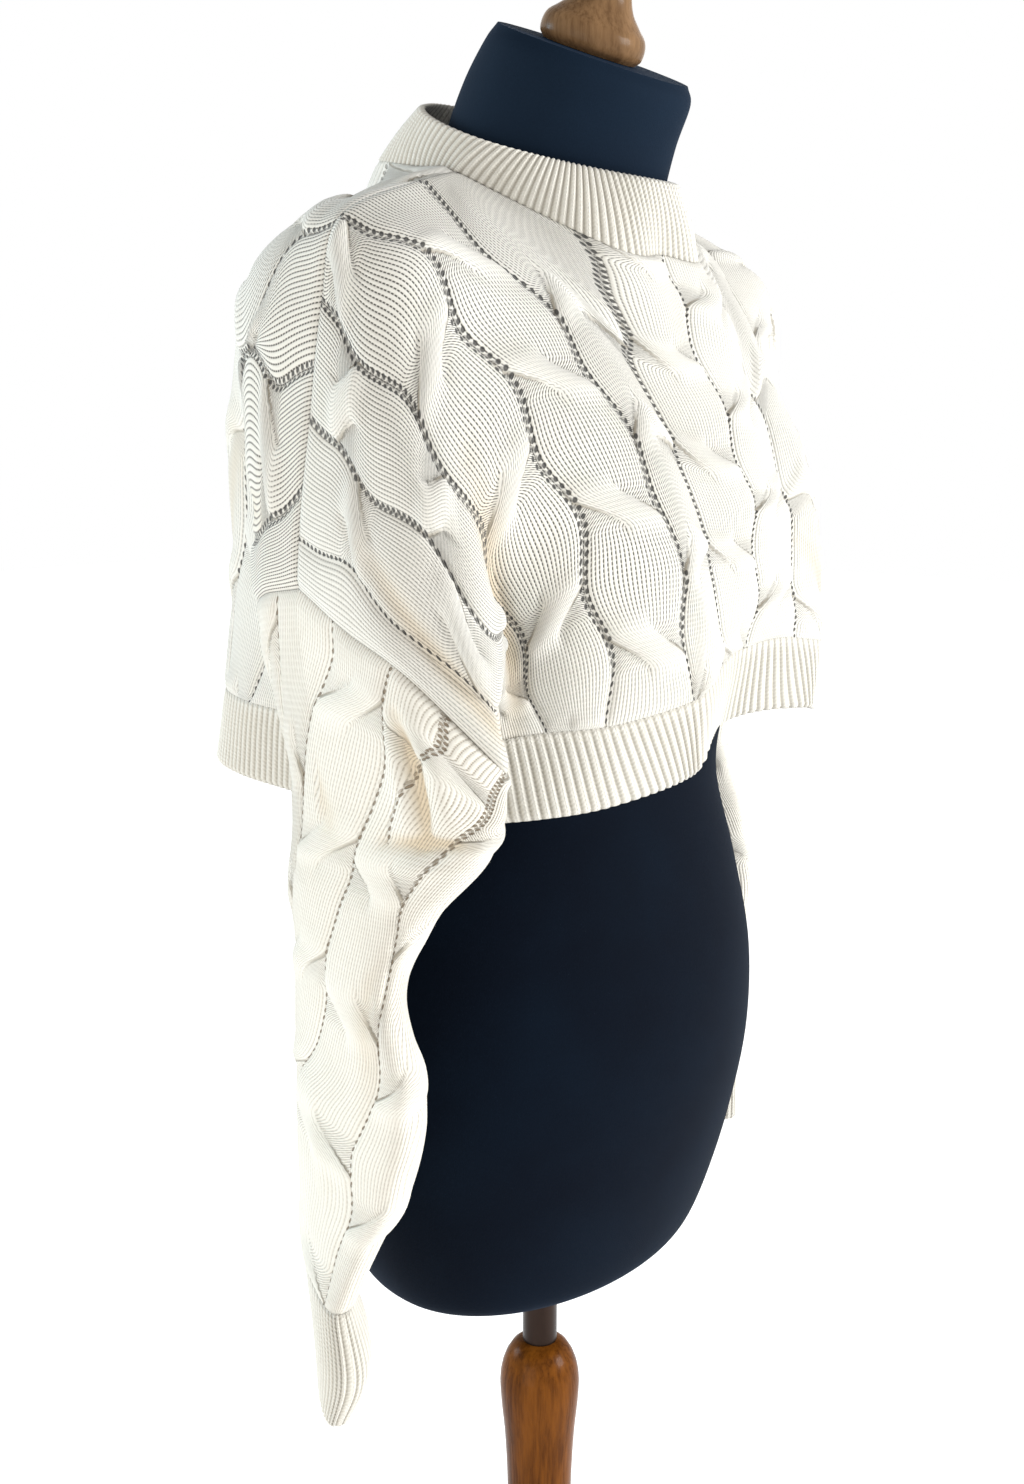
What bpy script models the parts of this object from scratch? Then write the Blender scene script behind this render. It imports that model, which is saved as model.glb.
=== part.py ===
"""A cropped cable-knit sweater on a limbless dress form with a turned wood stand.

Metres, +Z up. The wearer faces -Y and the wearer's left is +X. The origin is on the floor, at the
middle of the base. Knitted panels are measured in their own flat pattern: u runs across a panel
from its middle, and a course is a row of knitting, counted down from the shoulder seam to the hem.
"""

import math

import bmesh
import bpy
import numpy as np

# ---------------------------------------------------------------------------- driving dimensions
COLLECTION = "aran_sweater_on_dress_form"

WALL = 0.0022               # thickness of the knitted cloth
SEAM_GAP = 0.0003           # left between two pieces that are sewn together
TOUCH_GAP = 0.0003          # left between two hard pieces that stand on each other

NECK_HALF = 0.085           # half the neckline, across the flat panel
UNDERARM_COURSE = 4         # course of the tables where the armhole ends and the side seam starts
RIB_COURSE = 6              # course where the hem rib is sewn on
HEM_COURSE = 7              # lower edge of the hem rib
STEPS_PER_COURSE = 3        # rows of faces between two courses
STEPS_RIB = 2
STEPS_SLEEVE = 14
STEPS_COLLAR = 3
STEPS_CUFF = 3

# ---------------------------------------------------------------------------- knitted panels
# Stations across half a panel: the middle, then each ladder of open stitches out to the armhole.
STATIONS = ("middle", "ladder_1", "neck_point", "ladder_2", "ladder_3",
            "ladder_4", "ladder_5", "ladder_6", "armhole")
STATION_U = (0.0, 0.059, NECK_HALF, 0.118, 0.177, 0.236, 0.295, 0.354, 0.379)
EXTRA_U = (0.020, 0.040, 0.072, 0.148, 0.206, 0.265, 0.325)   # more columns of faces

# Where each course passes each station on the wearer's right half, mirrored to x > 0: (x, y, z).
FRONT_COURSES = (
    ("shoulder", (0.000, -0.085, 1.345), (0.059, -0.072, 1.353), (0.083, -0.004, 1.388),
     (0.118, -0.012, 1.379), (0.184, -0.018, 1.354), (0.198, -0.018, 1.312),
     (0.207, -0.017, 1.255), (0.2145, -0.015, 1.195), (0.2165, -0.015, 1.170)),
    ("yoke", (0.000, -0.102, 1.310), (0.058, -0.092, 1.315), (0.096, -0.044, 1.356),
     (0.118, -0.051, 1.345), (0.172, -0.060, 1.334), (0.203, -0.055, 1.280),
     (0.214, -0.060, 1.225), (0.222, -0.055, 1.180), (0.225, -0.058, 1.152)),
    ("chest", (0.000, -0.122, 1.270), (0.054, -0.109, 1.278), (0.080, -0.092, 1.306),
     (0.101, -0.092, 1.302), (0.157, -0.084, 1.292), (0.198, -0.087, 1.248),
     (0.212, -0.097, 1.200), (0.224, -0.095, 1.155), (0.226, -0.100, 1.134)),
    ("fold", (0.000, -0.140, 1.233), (0.050, -0.130, 1.239), (0.074, -0.124, 1.260),
     (0.094, -0.123, 1.258), (0.144, -0.110, 1.248), (0.186, -0.110, 1.205),
     (0.195, -0.126, 1.155), (0.205, -0.138, 1.118), (0.203, -0.144, 1.090)),
    ("bust", (0.000, -0.150, 1.200), (0.046, -0.145, 1.201), (0.070, -0.148, 1.212),
     (0.086, -0.148, 1.211), (0.131, -0.126, 1.201), (0.160, -0.100, 1.168),
     (0.166, -0.108, 1.148), (0.176, -0.100, 1.138), (0.186, -0.080, 1.134)),
    ("waist", (0.000, -0.153, 1.164), (0.042, -0.153, 1.164), (0.064, -0.158, 1.162),
     (0.079, -0.158, 1.160), (0.121, -0.135, 1.152), (0.145, -0.106, 1.132),
     (0.163, -0.096, 1.117), (0.173, -0.080, 1.110), (0.180, -0.062, 1.108)),
    ("rib", (0.000, -0.149, 1.128), (0.037, -0.155, 1.124), (0.060, -0.161, 1.114),
     (0.074, -0.159, 1.109), (0.116, -0.139, 1.100), (0.142, -0.114, 1.097),
     (0.163, -0.090, 1.092), (0.172, -0.055, 1.090), (0.174, -0.028, 1.090)),
    ("hem", (0.000, -0.136, 1.083), (0.036, -0.148, 1.080), (0.058, -0.158, 1.072),
     (0.070, -0.156, 1.066), (0.115, -0.140, 1.057), (0.145, -0.119, 1.053),
     (0.163, -0.088, 1.049), (0.172, -0.048, 1.048), (0.173, -0.016, 1.048)),
)
BACK_COURSES = (
    ("shoulder", (0.000, 0.090, 1.408), (0.059, 0.070, 1.403), (0.083, -0.004, 1.388),
     (0.118, -0.012, 1.379), (0.184, -0.018, 1.354), (0.198, -0.018, 1.312),
     (0.207, -0.017, 1.255), (0.2145, -0.015, 1.195), (0.2165, -0.015, 1.170)),
    ("yoke", (0.000, 0.117, 1.364), (0.060, 0.101, 1.366), (0.097, 0.040, 1.379),
     (0.121, 0.034, 1.374), (0.174, 0.030, 1.350), (0.199, 0.020, 1.310),
     (0.207, 0.016, 1.252), (0.213, 0.016, 1.190), (0.2145, 0.014, 1.165)),
    ("blade", (0.000, 0.132, 1.314), (0.058, 0.124, 1.318), (0.090, 0.096, 1.342),
     (0.118, 0.086, 1.346), (0.164, 0.072, 1.332), (0.191, 0.052, 1.290),
     (0.200, 0.036, 1.236), (0.202, 0.028, 1.178), (0.203, 0.025, 1.156)),
    ("back", (0.000, 0.140, 1.262), (0.058, 0.137, 1.265), (0.088, 0.130, 1.282),
     (0.114, 0.122, 1.286), (0.153, 0.100, 1.284), (0.180, 0.056, 1.250),
     (0.188, 0.010, 1.212), (0.192, -0.022, 1.180), (0.196, -0.032, 1.156)),
    ("flank", (0.000, 0.148, 1.204), (0.056, 0.147, 1.205), (0.084, 0.146, 1.216),
     (0.110, 0.141, 1.224), (0.151, 0.110, 1.228), (0.171, 0.050, 1.202),
     (0.172, -0.008, 1.168), (0.176, -0.050, 1.140), (0.186, -0.080, 1.134)),
    ("waist", (0.000, 0.153, 1.148), (0.055, 0.152, 1.148), (0.082, 0.151, 1.152),
     (0.107, 0.146, 1.158), (0.147, 0.116, 1.161), (0.169, 0.070, 1.150),
     (0.176, 0.024, 1.138), (0.180, -0.020, 1.124), (0.180, -0.062, 1.108)),
    ("rib", (0.000, 0.158, 1.100), (0.054, 0.158, 1.100), (0.080, 0.157, 1.100),
     (0.106, 0.152, 1.099), (0.147, 0.126, 1.098), (0.167, 0.088, 1.096),
     (0.172, 0.045, 1.094), (0.174, 0.001, 1.091), (0.174, -0.028, 1.090)),
    ("hem", (0.000, 0.160, 1.054), (0.054, 0.160, 1.054), (0.082, 0.160, 1.054),
     (0.108, 0.156, 1.053), (0.149, 0.134, 1.052), (0.168, 0.094, 1.051),
     (0.172, 0.050, 1.049), (0.174, 0.010, 1.048), (0.173, -0.016, 1.048)),
)

# The wearer's left half hangs further back and a little higher from its outer columns: how far
# each course of it moves back (y) and up (z).
LEFT_HANG = (
    ("shoulder", 0.000, 0.000), ("yoke", 0.028, 0.004), ("chest", 0.055, 0.008),
    ("fold", 0.085, 0.010), ("bust", 0.075, 0.014), ("waist", 0.060, 0.016),
    ("rib", 0.035, 0.018), ("hem", 0.032, 0.020),
)
# How much of that each station of the left half does: of y at the front, of z at the front, and
# of both at the back.
LEFT_FRONT_BACKWARDS = (0.00, 0.02, 0.10, 0.20, 0.40, 0.85, 1.00, 1.00, 1.00)
LEFT_FRONT_UPWARDS = (0.12, 0.45, 0.80, 1.00, 1.00, 1.00, 1.00, 1.00, 1.00)
LEFT_BACK = (0.00, 0.00, 0.00, 0.00, 0.00, 0.30, 0.70, 0.95, 1.00)
LEFT_NECK_MOVE = (-0.001, 0.010, 0.002)     # of ladder_1 at the front neckline

# ---------------------------------------------------------------------------- sleeve, collar
# An empty sleeve hangs flat. Sections down it, mirrored to x > 0: the middle (x, y, z), half of
# its flat width, half of its depth, and how far its front edge turns outwards from -Y.
RIGHT_SLEEVE = (
    # x, y, z, half_width, half_depth, turn_degrees
    (0.2080, -0.065, 1.045, 0.0720, 0.020, 10.0),
    (0.2085, -0.047, 1.012, 0.0590, 0.018, 14.0),
    (0.2085, -0.038, 0.975, 0.0540, 0.016, 20.0),
    (0.2080, -0.044, 0.920, 0.0640, 0.017, 19.0),
    (0.2095, -0.038, 0.870, 0.0620, 0.016, 22.0),
    (0.2120, -0.028, 0.830, 0.0550, 0.012, 29.0),
    (0.2140, -0.022, 0.797, 0.0490, 0.010, 35.0),
)
RIGHT_CUFF = (
    (0.2140, -0.022, 0.797, 0.0490, 0.0100, 35.0),
    (0.2150, -0.034, 0.763, 0.0480, 0.0145, 39.0),
    (0.2160, -0.029, 0.732, 0.0430, 0.0090, 43.0),
)
LEFT_SLEEVE = (
    (0.2060, 0.062, 1.045, 0.0620, 0.020, 8.0),
    (0.2060, 0.060, 1.012, 0.0600, 0.018, 12.0),
    (0.2065, 0.050, 0.975, 0.0600, 0.017, 16.0),
    (0.2070, 0.040, 0.920, 0.0600, 0.016, 18.0),
    (0.2080, 0.046, 0.870, 0.0580, 0.015, 20.0),
    (0.2100, 0.044, 0.830, 0.0540, 0.013, 24.0),
    (0.2120, 0.042, 0.790, 0.0500, 0.011, 28.0),
)
LEFT_CUFF = (
    (0.2120, 0.042, 0.790, 0.0500, 0.0110, 28.0),
    (0.2130, 0.038, 0.757, 0.0470, 0.0120, 30.0),
    (0.2140, 0.034, 0.724, 0.0430, 0.0100, 32.0),
)
FOLD_FULLNESS = 0.7         # below 1 the folded edges of a flat sleeve are rounder than an oval's
FRONT_EDGE_SHARE = 0.375    # share of the way round the armhole, from the shoulder, of its front edge
REAR_EDGE_SHARE = 0.790     # and of its rear edge

# Upper edge of the mock neck: an oval that rises backwards, and dips a little at the sides.
COLLAR_TOP = {"y": -0.004, "z": 1.411, "half_width": 0.074, "half_depth": 0.074,
              "slope": 0.385, "curl": 1.0}

# ---------------------------------------------------------------------------- dress form
# Sections up the dress form: height and y of the middle, half width, reach forwards and
# backwards, and the forward tilt of the section.
FORM_SECTIONS = (
    # z, y, half_width, front, back, tilt_degrees
    (0.7210, 0.000, 0.108, 0.068, 0.090, 0.0),
    (0.7240, 0.000, 0.120, 0.077, 0.099, 0.0),
    (0.7360, 0.000, 0.132, 0.086, 0.109, 0.0),
    (0.7650, 0.000, 0.145, 0.096, 0.118, 0.0),
    (0.8080, 0.000, 0.158, 0.107, 0.128, 0.0),
    (0.8620, 0.000, 0.168, 0.116, 0.136, 0.0),
    (0.9200, 0.000, 0.165, 0.117, 0.130, 0.0),
    (0.9800, 0.000, 0.149, 0.108, 0.112, 0.0),
    (1.0400, 0.000, 0.130, 0.098, 0.090, 0.0),
    (1.1000, 0.000, 0.136, 0.103, 0.092, 0.0),
    (1.1700, 0.000, 0.146, 0.106, 0.102, 0.0),
    (1.2400, 0.000, 0.152, 0.094, 0.112, 0.0),
    (1.2900, 0.000, 0.164, 0.076, 0.107, 0.0),
    (1.3200, 0.000, 0.173, 0.058, 0.094, 0.0),
    (1.3390, 0.000, 0.168, 0.045, 0.076, 0.0),
    (1.3520, 0.000, 0.140, 0.043, 0.068, 3.0),
    (1.3650, 0.000, 0.102, 0.052, 0.062, 9.0),
    (1.3820, -0.002, 0.072, 0.0655, 0.060, 17.0),
    (1.4050, -0.006, 0.066, 0.0700, 0.060, 20.0),
    (1.4300, -0.016, 0.064, 0.0685, 0.057, 21.5),
    (1.4500, -0.028, 0.063, 0.0655, 0.053, 22.0),
    (1.4590, -0.032, 0.059, 0.060, 0.049, 23.0),
)
FORM_SIDES = 40
BUST = {"x": 0.082, "z": 1.180, "height": 0.042, "spread_x": 0.042, "spread_z": 0.046}

NECK_TOP = {"y": -0.032, "z": 1.459, "tilt": 23.0}

# ---------------------------------------------------------------------------- turned wood
# Profiles as (radius, height) from the bottom up, closed on the axis at both ends.
FINIAL_PROFILE = ((0.0270, 0.000), (0.0298, 0.003), (0.0305, 0.008), (0.0292, 0.0135),
                  (0.0240, 0.019), (0.0180, 0.0255), (0.0142, 0.034), (0.0135, 0.043),
                  (0.0160, 0.052), (0.0188, 0.060), (0.0182, 0.068), (0.0145, 0.075),
                  (0.0080, 0.0795))
POLE_PROFILE = ((0.0215, 0.045), (0.0215, 0.400), (0.0218, 0.500), (0.0222, 0.548),
                (0.0240, 0.580), (0.0262, 0.603), (0.0268, 0.618), (0.0253, 0.628),
                (0.0218, 0.637), (0.0170, 0.6435), (0.0135, 0.646))
BASE_PROFILE = ((0.170, 0.000), (0.178, 0.006), (0.178, 0.018), (0.170, 0.026), (0.110, 0.030),
                (0.060, 0.035), (0.038, 0.0447))
TUBE_RADIUS = 0.0115
TURNED_SIDES = 40
BEAD_SIDES = 28

# ---------------------------------------------------------------------------- colours
CREAM = (0.86, 0.80, 0.68, 1.0)
BLACK_JERSEY = (0.008, 0.012, 0.022, 1.0)
WALNUT = (0.17, 0.065, 0.022, 1.0)
DARK_STEEL = (0.045, 0.03, 0.025, 1.0)


# ---------------------------------------------------------------------------- curves and grids
def spline(knots, values, at):
    """Smooth values at the given places, through values at the knots (first axis)."""
    knots = np.asarray(knots, float)
    values = np.asarray(values, float)
    at = np.atleast_1d(np.asarray(at, float))
    steps = np.diff(knots)
    wide = (-1,) + (1,) * (values.ndim - 1)
    slopes = np.diff(values, axis=0) / steps.reshape(wide)
    tangents = np.empty_like(values)
    tangents[0] = slopes[0]
    tangents[-1] = slopes[-1]
    before = steps[:-1].reshape(wide)
    after = steps[1:].reshape(wide)
    tangents[1:-1] = (slopes[:-1] * after + slopes[1:] * before) / (before + after)
    left = np.clip(np.searchsorted(knots, at, side="right") - 1, 0, len(steps) - 1)
    step = steps[left].reshape(wide)
    part = ((at - knots[left]) / steps[left]).reshape(wide)
    start = values[left] * (2 * part**3 - 3 * part**2 + 1)
    finish = values[left + 1] * (3 * part**2 - 2 * part**3)
    leave = tangents[left] * step * (part**3 - 2 * part**2 + part)
    arrive = tangents[left + 1] * step * (part**3 - part**2)
    return start + finish + leave + arrive


def left_half(courses):
    """The stations of a panel's wearer's left half, moved back and up as that side hangs."""
    points = np.array([row[1:] for row in courses], float)
    moves = np.array([row[1:] for row in LEFT_HANG])
    if courses is FRONT_COURSES:
        points[0, 1] += np.array(LEFT_NECK_MOVE)
        points[:, :, 1] += moves[:, :1] * np.array(LEFT_FRONT_BACKWARDS)
        points[:, :, 2] += moves[:, 1:] * np.array(LEFT_FRONT_UPWARDS)
    else:
        points[:, :, 1:] += moves[:, None, :] * np.array(LEFT_BACK)[:, None]
    return points


def panel_points(courses, across, down):
    """A grid of points on a panel: rows for the courses asked for, columns for u across.

    Sewn edges are worked out from their own stations only, so that both pieces get the same line.
    """
    across = np.array(across, float)
    down = np.array(down, float)
    right = np.array([row[1:] for row in courses], float) * np.array([-1.0, 1.0, 1.0])
    left = left_half(courses)
    right[:, 0] = left[:, 0]
    whole = np.concatenate([right[:, :0:-1], left], axis=1)
    u_left = np.array(STATION_U)
    u_whole = np.concatenate([-u_left[:0:-1], u_left])
    rows = spline(range(len(courses)), whole, down)
    sewn = down >= UNDERARM_COURSE
    if sewn.any():
        for edge in (0, -1):
            rows[sewn, edge] = spline(range(UNDERARM_COURSE, len(courses)),
                                      whole[UNDERARM_COURSE:, edge], down[sewn])
    grid = spline(u_whole, rows.transpose(1, 0, 2), across).transpose(1, 0, 2)
    if down[0] == 0.0:
        for low, high in ((-1.0, -NECK_HALF), (-NECK_HALF, NECK_HALF), (NECK_HALF, 1.0)):
            asked = (across >= low) & (across <= high)
            known = (u_whole >= low) & (u_whole <= high)
            if asked.any():
                grid[0, asked] = spline(u_whole[known], rows[0, known], across[asked])
    return grid


def panel_columns():
    """Where the columns of faces lie across a whole panel."""
    half = sorted(set(STATION_U) | set(EXTRA_U))
    return np.array([-u for u in half[:0:-1]] + half)


def oval(section, turn_shares, side):
    """Points round a flat-hanging section of a sleeve; shares count from the shoulder line."""
    x, y, z, half_width, half_depth, turn = section
    edges = (REAR_EDGE_SHARE - 1, FRONT_EDGE_SHARE, REAR_EDGE_SHARE, FRONT_EDGE_SHARE + 1)
    angle = np.interp(turn_shares, edges, np.pi * np.array([1, 0, -1, -2]))
    turned = math.radians(turn)
    forwards = half_width * np.cos(angle)
    outwards = half_depth * np.sign(np.sin(angle)) * np.abs(np.sin(angle)) ** FOLD_FULLNESS
    px = x + forwards * math.sin(turned) + outwards * math.cos(turned)
    py = y - forwards * math.cos(turned) + outwards * math.sin(turned)
    return np.stack([side * px, py, np.full_like(px, z)], axis=-1)


def armhole_loop(side):
    """The armhole edge of the front, then of the back, as one loop from the shoulder seam."""
    down = np.arange(UNDERARM_COURSE * STEPS_PER_COURSE + 1) / STEPS_PER_COURSE
    edge = [side * STATION_U[-1]]
    front = panel_points(FRONT_COURSES, edge, down)[:, 0]
    back = panel_points(BACK_COURSES, edge, down)[:, 0]
    loop = np.concatenate([front, back[-2:0:-1]])
    shares = np.arange(len(loop)) / len(loop)
    return shares, loop


def sleeve_points(side):
    """Rows down the sleeve from the armhole to the cuff; each row runs once round."""
    shares, loop = armhole_loop(side)
    sections = LEFT_SLEEVE if side > 0 else RIGHT_SLEEVE
    rings = [loop] + [oval(section, shares, side) for section in sections]
    rings = np.array(rings)
    middles = rings.mean(axis=1)
    lengths = np.linalg.norm(np.diff(middles, axis=0), axis=1)
    knots = np.concatenate([[0.0], np.cumsum(lengths)])
    return spline(knots, rings, np.linspace(0.0, knots[-1], STEPS_SLEEVE + 1))


def cuff_points(side):
    """Rows down a cuff."""
    shares, _ = armhole_loop(side)
    sections = LEFT_CUFF if side > 0 else RIGHT_CUFF
    rings = np.array([oval(section, shares, side) for section in sections])
    places = np.linspace(0.0, len(rings) - 1.0, STEPS_CUFF + 1)
    return spline(range(len(rings)), rings, places)


def collar_points():
    """Rows up the mock neck, from the neckline of the front and back to its upper edge."""
    columns = panel_columns()
    columns = columns[np.abs(columns) <= NECK_HALF]
    front = panel_points(FRONT_COURSES, columns, [0.0])[0]
    back = panel_points(BACK_COURSES, columns, [0.0])[0]
    neckline = np.concatenate([front, back[-2:0:-1]])
    heading = np.arctan2(neckline[:, 1] - COLLAR_TOP["y"], neckline[:, 0])
    top_y = COLLAR_TOP["y"] + COLLAR_TOP["half_depth"] * np.sin(heading)
    top_z = COLLAR_TOP["z"] + COLLAR_TOP["slope"] * top_y + COLLAR_TOP["curl"] * top_y**2
    top = np.stack([COLLAR_TOP["half_width"] * np.cos(heading), top_y, top_z], axis=-1)
    places = np.linspace(0.0, 1.0, STEPS_COLLAR + 1)[:, None, None]
    swell = 0.002 * np.sin(math.pi * places)
    outwards = np.stack([np.cos(heading), np.sin(heading), 0.0 * heading], axis=-1)
    return neckline * (1 - places) + top * places + swell * outwards


def form_points():
    """Rings up the dress form."""
    angles = np.arange(FORM_SIDES) * 2 * math.pi / FORM_SIDES
    rings = []
    for z, y, half_width, front, back, tilt in FORM_SECTIONS:
        px = half_width * np.cos(angles)
        reach = np.where(np.sin(angles) < 0, front, back)
        depth = reach * np.sin(angles)
        fullness = np.exp(-((np.abs(px) - BUST["x"]) / BUST["spread_x"]) ** 2 / 2
                          - ((z - BUST["z"]) / BUST["spread_z"]) ** 2 / 2)
        fullness = fullness * np.clip(-np.sin(angles), 0, 1) ** 0.5
        py = y + depth * math.cos(math.radians(tilt)) - BUST["height"] * fullness
        pz = z + depth * math.sin(math.radians(tilt))
        rings.append(np.stack([px, py, pz], axis=-1))
    return np.array(rings)


# ---------------------------------------------------------------------------- walls of cloth
def quads_of(rows, columns, closed):
    """Corner indices of every face of a grid, row by row."""
    last = columns if closed else columns - 1
    faces = []
    for row in range(rows - 1):
        for column in range(last):
            after = (column + 1) % columns
            faces.append((row * columns + column, row * columns + after,
                          (row + 1) * columns + after, (row + 1) * columns + column))
    return faces


def shared_normals(grids):
    """Normals of all the pieces together, so that sewn edges share theirs."""
    total = {}
    keys = {}
    for name, (points, closed) in grids.items():
        rows, columns, _ = points.shape
        flat = points.reshape(-1, 3)
        keys[name] = [tuple(np.round(point, 5)) for point in flat]
        for face in quads_of(rows, columns, closed):
            a, b, c, d = (flat[index] for index in face)
            normal = np.cross(c - a, d - b)
            for index in face:
                key = keys[name][index]
                total[key] = total.get(key, np.zeros(3)) + normal
    normals = {}
    for name, (points, _) in grids.items():
        vectors = np.array([total[key] for key in keys[name]])
        vectors /= np.linalg.norm(vectors, axis=1, keepdims=True)
        normals[name] = vectors.reshape(points.shape)
    return normals


def step_in(edge, beside, closed):
    """How far each point of a border moves, square to the border, to leave half a seam gap."""
    if closed:
        along = np.roll(edge, -1, axis=0) - np.roll(edge, 1, axis=0)
    else:
        along = np.gradient(edge, axis=0)
    along /= np.linalg.norm(along, axis=1, keepdims=True)
    away = beside - edge
    away -= along * (away * along).sum(axis=1, keepdims=True)
    return 0.5 * SEAM_GAP * away / np.linalg.norm(away, axis=1, keepdims=True)


def draw_back(points, closed):
    """The grid with its borders drawn in by half a seam gap."""
    drawn = points.copy()
    drawn[0] += step_in(points[0], points[1], closed)
    drawn[-1] += step_in(points[-1], points[-2], closed)
    if not closed:
        drawn[:, 0] += step_in(points[:, 0], points[:, 1], False)
        drawn[:, -1] += step_in(points[:, -1], points[:, -2], False)
    return drawn


def wall_mesh(name, points, normals, closed):
    """A closed wall of cloth between an outer grid and the same grid moved in by its thickness."""
    rows, columns, _ = points.shape
    outer = draw_back(points, closed).reshape(-1, 3)
    inner = draw_back(points - WALL * normals, closed).reshape(-1, 3)
    count = rows * columns
    sheet = []
    for a, b, c, d in quads_of(rows, columns, closed):
        sheet += [(a, b, c), (a, c, d)]
        sheet += [(c + count, b + count, a + count), (d + count, c + count, a + count)]
    top = list(range(columns))
    bottom = [(rows - 1) * columns + column for column in range(columns)]
    borders = []
    if closed:
        borders += [(top[i], top[(i + 1) % columns]) for i in range(columns)]
        borders += [(bottom[(i + 1) % columns], bottom[i]) for i in range(columns)]
    else:
        borders += [(top[i], top[i + 1]) for i in range(columns - 1)]
        borders += [(bottom[i + 1], bottom[i]) for i in range(columns - 1)]
        borders += [((i + 1) * columns, i * columns) for i in range(rows - 1)]
        borders += [(i * columns + columns - 1, (i + 1) * columns + columns - 1)
                    for i in range(rows - 1)]
    for a, b in borders:
        if round(outer[a].sum(), 3) < round(outer[b].sum(), 3):
            sheet += [(b, a, b + count), (a, a + count, b + count)]
        else:
            sheet += [(b, a, a + count), (b, a + count, b + count)]
    corners = np.concatenate([outer, inner])
    mesh = bpy.data.meshes.new(name)
    mesh.from_pydata(corners.tolist(), [], sheet)
    mesh.validate()
    return mesh


# ---------------------------------------------------------------------------- Blender objects
def clear_scene():
    """Start from an empty scene."""
    for thing in list(bpy.data.objects):
        bpy.data.objects.remove(thing, do_unlink=True)


def make_material(name, colour, roughness, metallic=0.0):
    """A Principled material."""
    material = bpy.data.materials.new(name)
    material.use_nodes = True
    shader = material.node_tree.nodes["Principled BSDF"]
    shader.inputs["Base Color"].default_value = colour
    shader.inputs["Roughness"].default_value = roughness
    shader.inputs["Metallic"].default_value = metallic
    return material


def outwards(mesh):
    """Turn the faces of a closed mesh outwards, and shade it smooth."""
    work = bmesh.new()
    work.from_mesh(mesh)
    bmesh.ops.recalc_face_normals(work, faces=work.faces)
    if work.calc_volume(signed=True) < 0:
        bmesh.ops.reverse_faces(work, faces=work.faces)
    work.to_mesh(mesh)
    work.free()
    mesh.shade_smooth()
    mesh.set_sharp_from_angle(angle=math.radians(50))


def add_object(collection, name, mesh, material):
    """Put a mesh into the collection as a named object."""
    mesh.materials.append(material)
    thing = bpy.data.objects.new(name, mesh)
    collection.objects.link(thing)
    return thing


def add_sweater(collection, yarn):
    """All the knitted pieces."""
    columns = panel_columns()
    body = np.arange(RIB_COURSE * STEPS_PER_COURSE + 1) / STEPS_PER_COURSE
    rib = np.linspace(RIB_COURSE, HEM_COURSE, STEPS_RIB + 1)
    grids = {
        "front_panel": (panel_points(FRONT_COURSES, -columns, body), False),
        "front_hem_rib": (panel_points(FRONT_COURSES, -columns, rib), False),
        "back_panel": (panel_points(BACK_COURSES, columns, body), False),
        "back_hem_rib": (panel_points(BACK_COURSES, columns, rib), False),
        "collar": (collar_points(), True),
    }
    for label, side in (("left", 1), ("right", -1)):
        order = slice(None, None, side)
        grids[f"sleeve_{label}"] = (sleeve_points(side)[:, order], True)
        grids[f"cuff_{label}"] = (cuff_points(side)[:, order], True)
    normals = shared_normals(grids)
    for name, (points, closed) in grids.items():
        mesh = wall_mesh(name, points, normals[name], closed)
        outwards(mesh)
        add_object(collection, name, mesh, yarn)


def add_form(collection, jersey):
    """The padded torso and its neck, one smooth closed body."""
    rings = form_points()
    count = len(rings)
    corners = rings.reshape(-1, 3).tolist()
    faces = quads_of(count, FORM_SIDES, True)
    faces.append(tuple(range(FORM_SIDES))[::-1])
    faces.append(tuple((count - 1) * FORM_SIDES + i for i in range(FORM_SIDES)))
    mesh = bpy.data.meshes.new("dress_form")
    mesh.from_pydata(corners, [], faces)
    outwards(mesh)
    add_object(collection, "dress_form", mesh, jersey)


def add_turned(collection, name, profile, sides, material):
    """A turned piece: its profile, closed on the axis, swept by a Screw modifier."""
    line = [(0.0, profile[-1][1])] + list(profile[::-1]) + [(0.0, profile[0][1])]
    mesh = bpy.data.meshes.new(name)
    mesh.from_pydata([(radius, 0.0, height) for radius, height in line],
                     [(i, i + 1) for i in range(len(line) - 1)], [])
    thing = add_object(collection, name, mesh, material)
    screw = thing.modifiers.new("turned", "SCREW")
    screw.steps = sides
    screw.render_steps = sides
    screw.use_merge_vertices = True
    screw.merge_threshold = 0.00001
    screw.use_smooth_shade = True
    return thing


def add_stand(collection, wood, steel):
    """The finial on the neck, and the tube, pole and base that hold the form up."""
    tilt = math.radians(NECK_TOP["tilt"])
    finial = add_turned(collection, "finial", FINIAL_PROFILE, BEAD_SIDES, wood)
    finial.location = (0.0, NECK_TOP["y"] - TOUCH_GAP * math.sin(tilt),
                       NECK_TOP["z"] + TOUCH_GAP * math.cos(tilt))
    finial.rotation_euler = (tilt, 0.0, 0.0)
    pole_top = POLE_PROFILE[-1][1]
    form_bottom = FORM_SECTIONS[0][0]
    tube_profile = ((TUBE_RADIUS, pole_top + TOUCH_GAP), (TUBE_RADIUS, form_bottom - TOUCH_GAP))
    add_turned(collection, "steel_tube", tube_profile, BEAD_SIDES, steel)
    add_turned(collection, "wood_pole", POLE_PROFILE, BEAD_SIDES, wood)
    add_turned(collection, "wood_base", BASE_PROFILE, TURNED_SIDES, wood)


def main():
    """Build the whole part."""
    clear_scene()
    collection = bpy.data.collections.new(COLLECTION)
    bpy.context.scene.collection.children.link(collection)
    add_sweater(collection, make_material("cream_yarn", CREAM, 0.9))
    add_form(collection, make_material("black_jersey", BLACK_JERSEY, 0.8))
    add_stand(collection, make_material("varnished_wood", WALNUT, 0.3),
              make_material("dark_steel", DARK_STEEL, 0.35, 1.0))


main()
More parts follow.
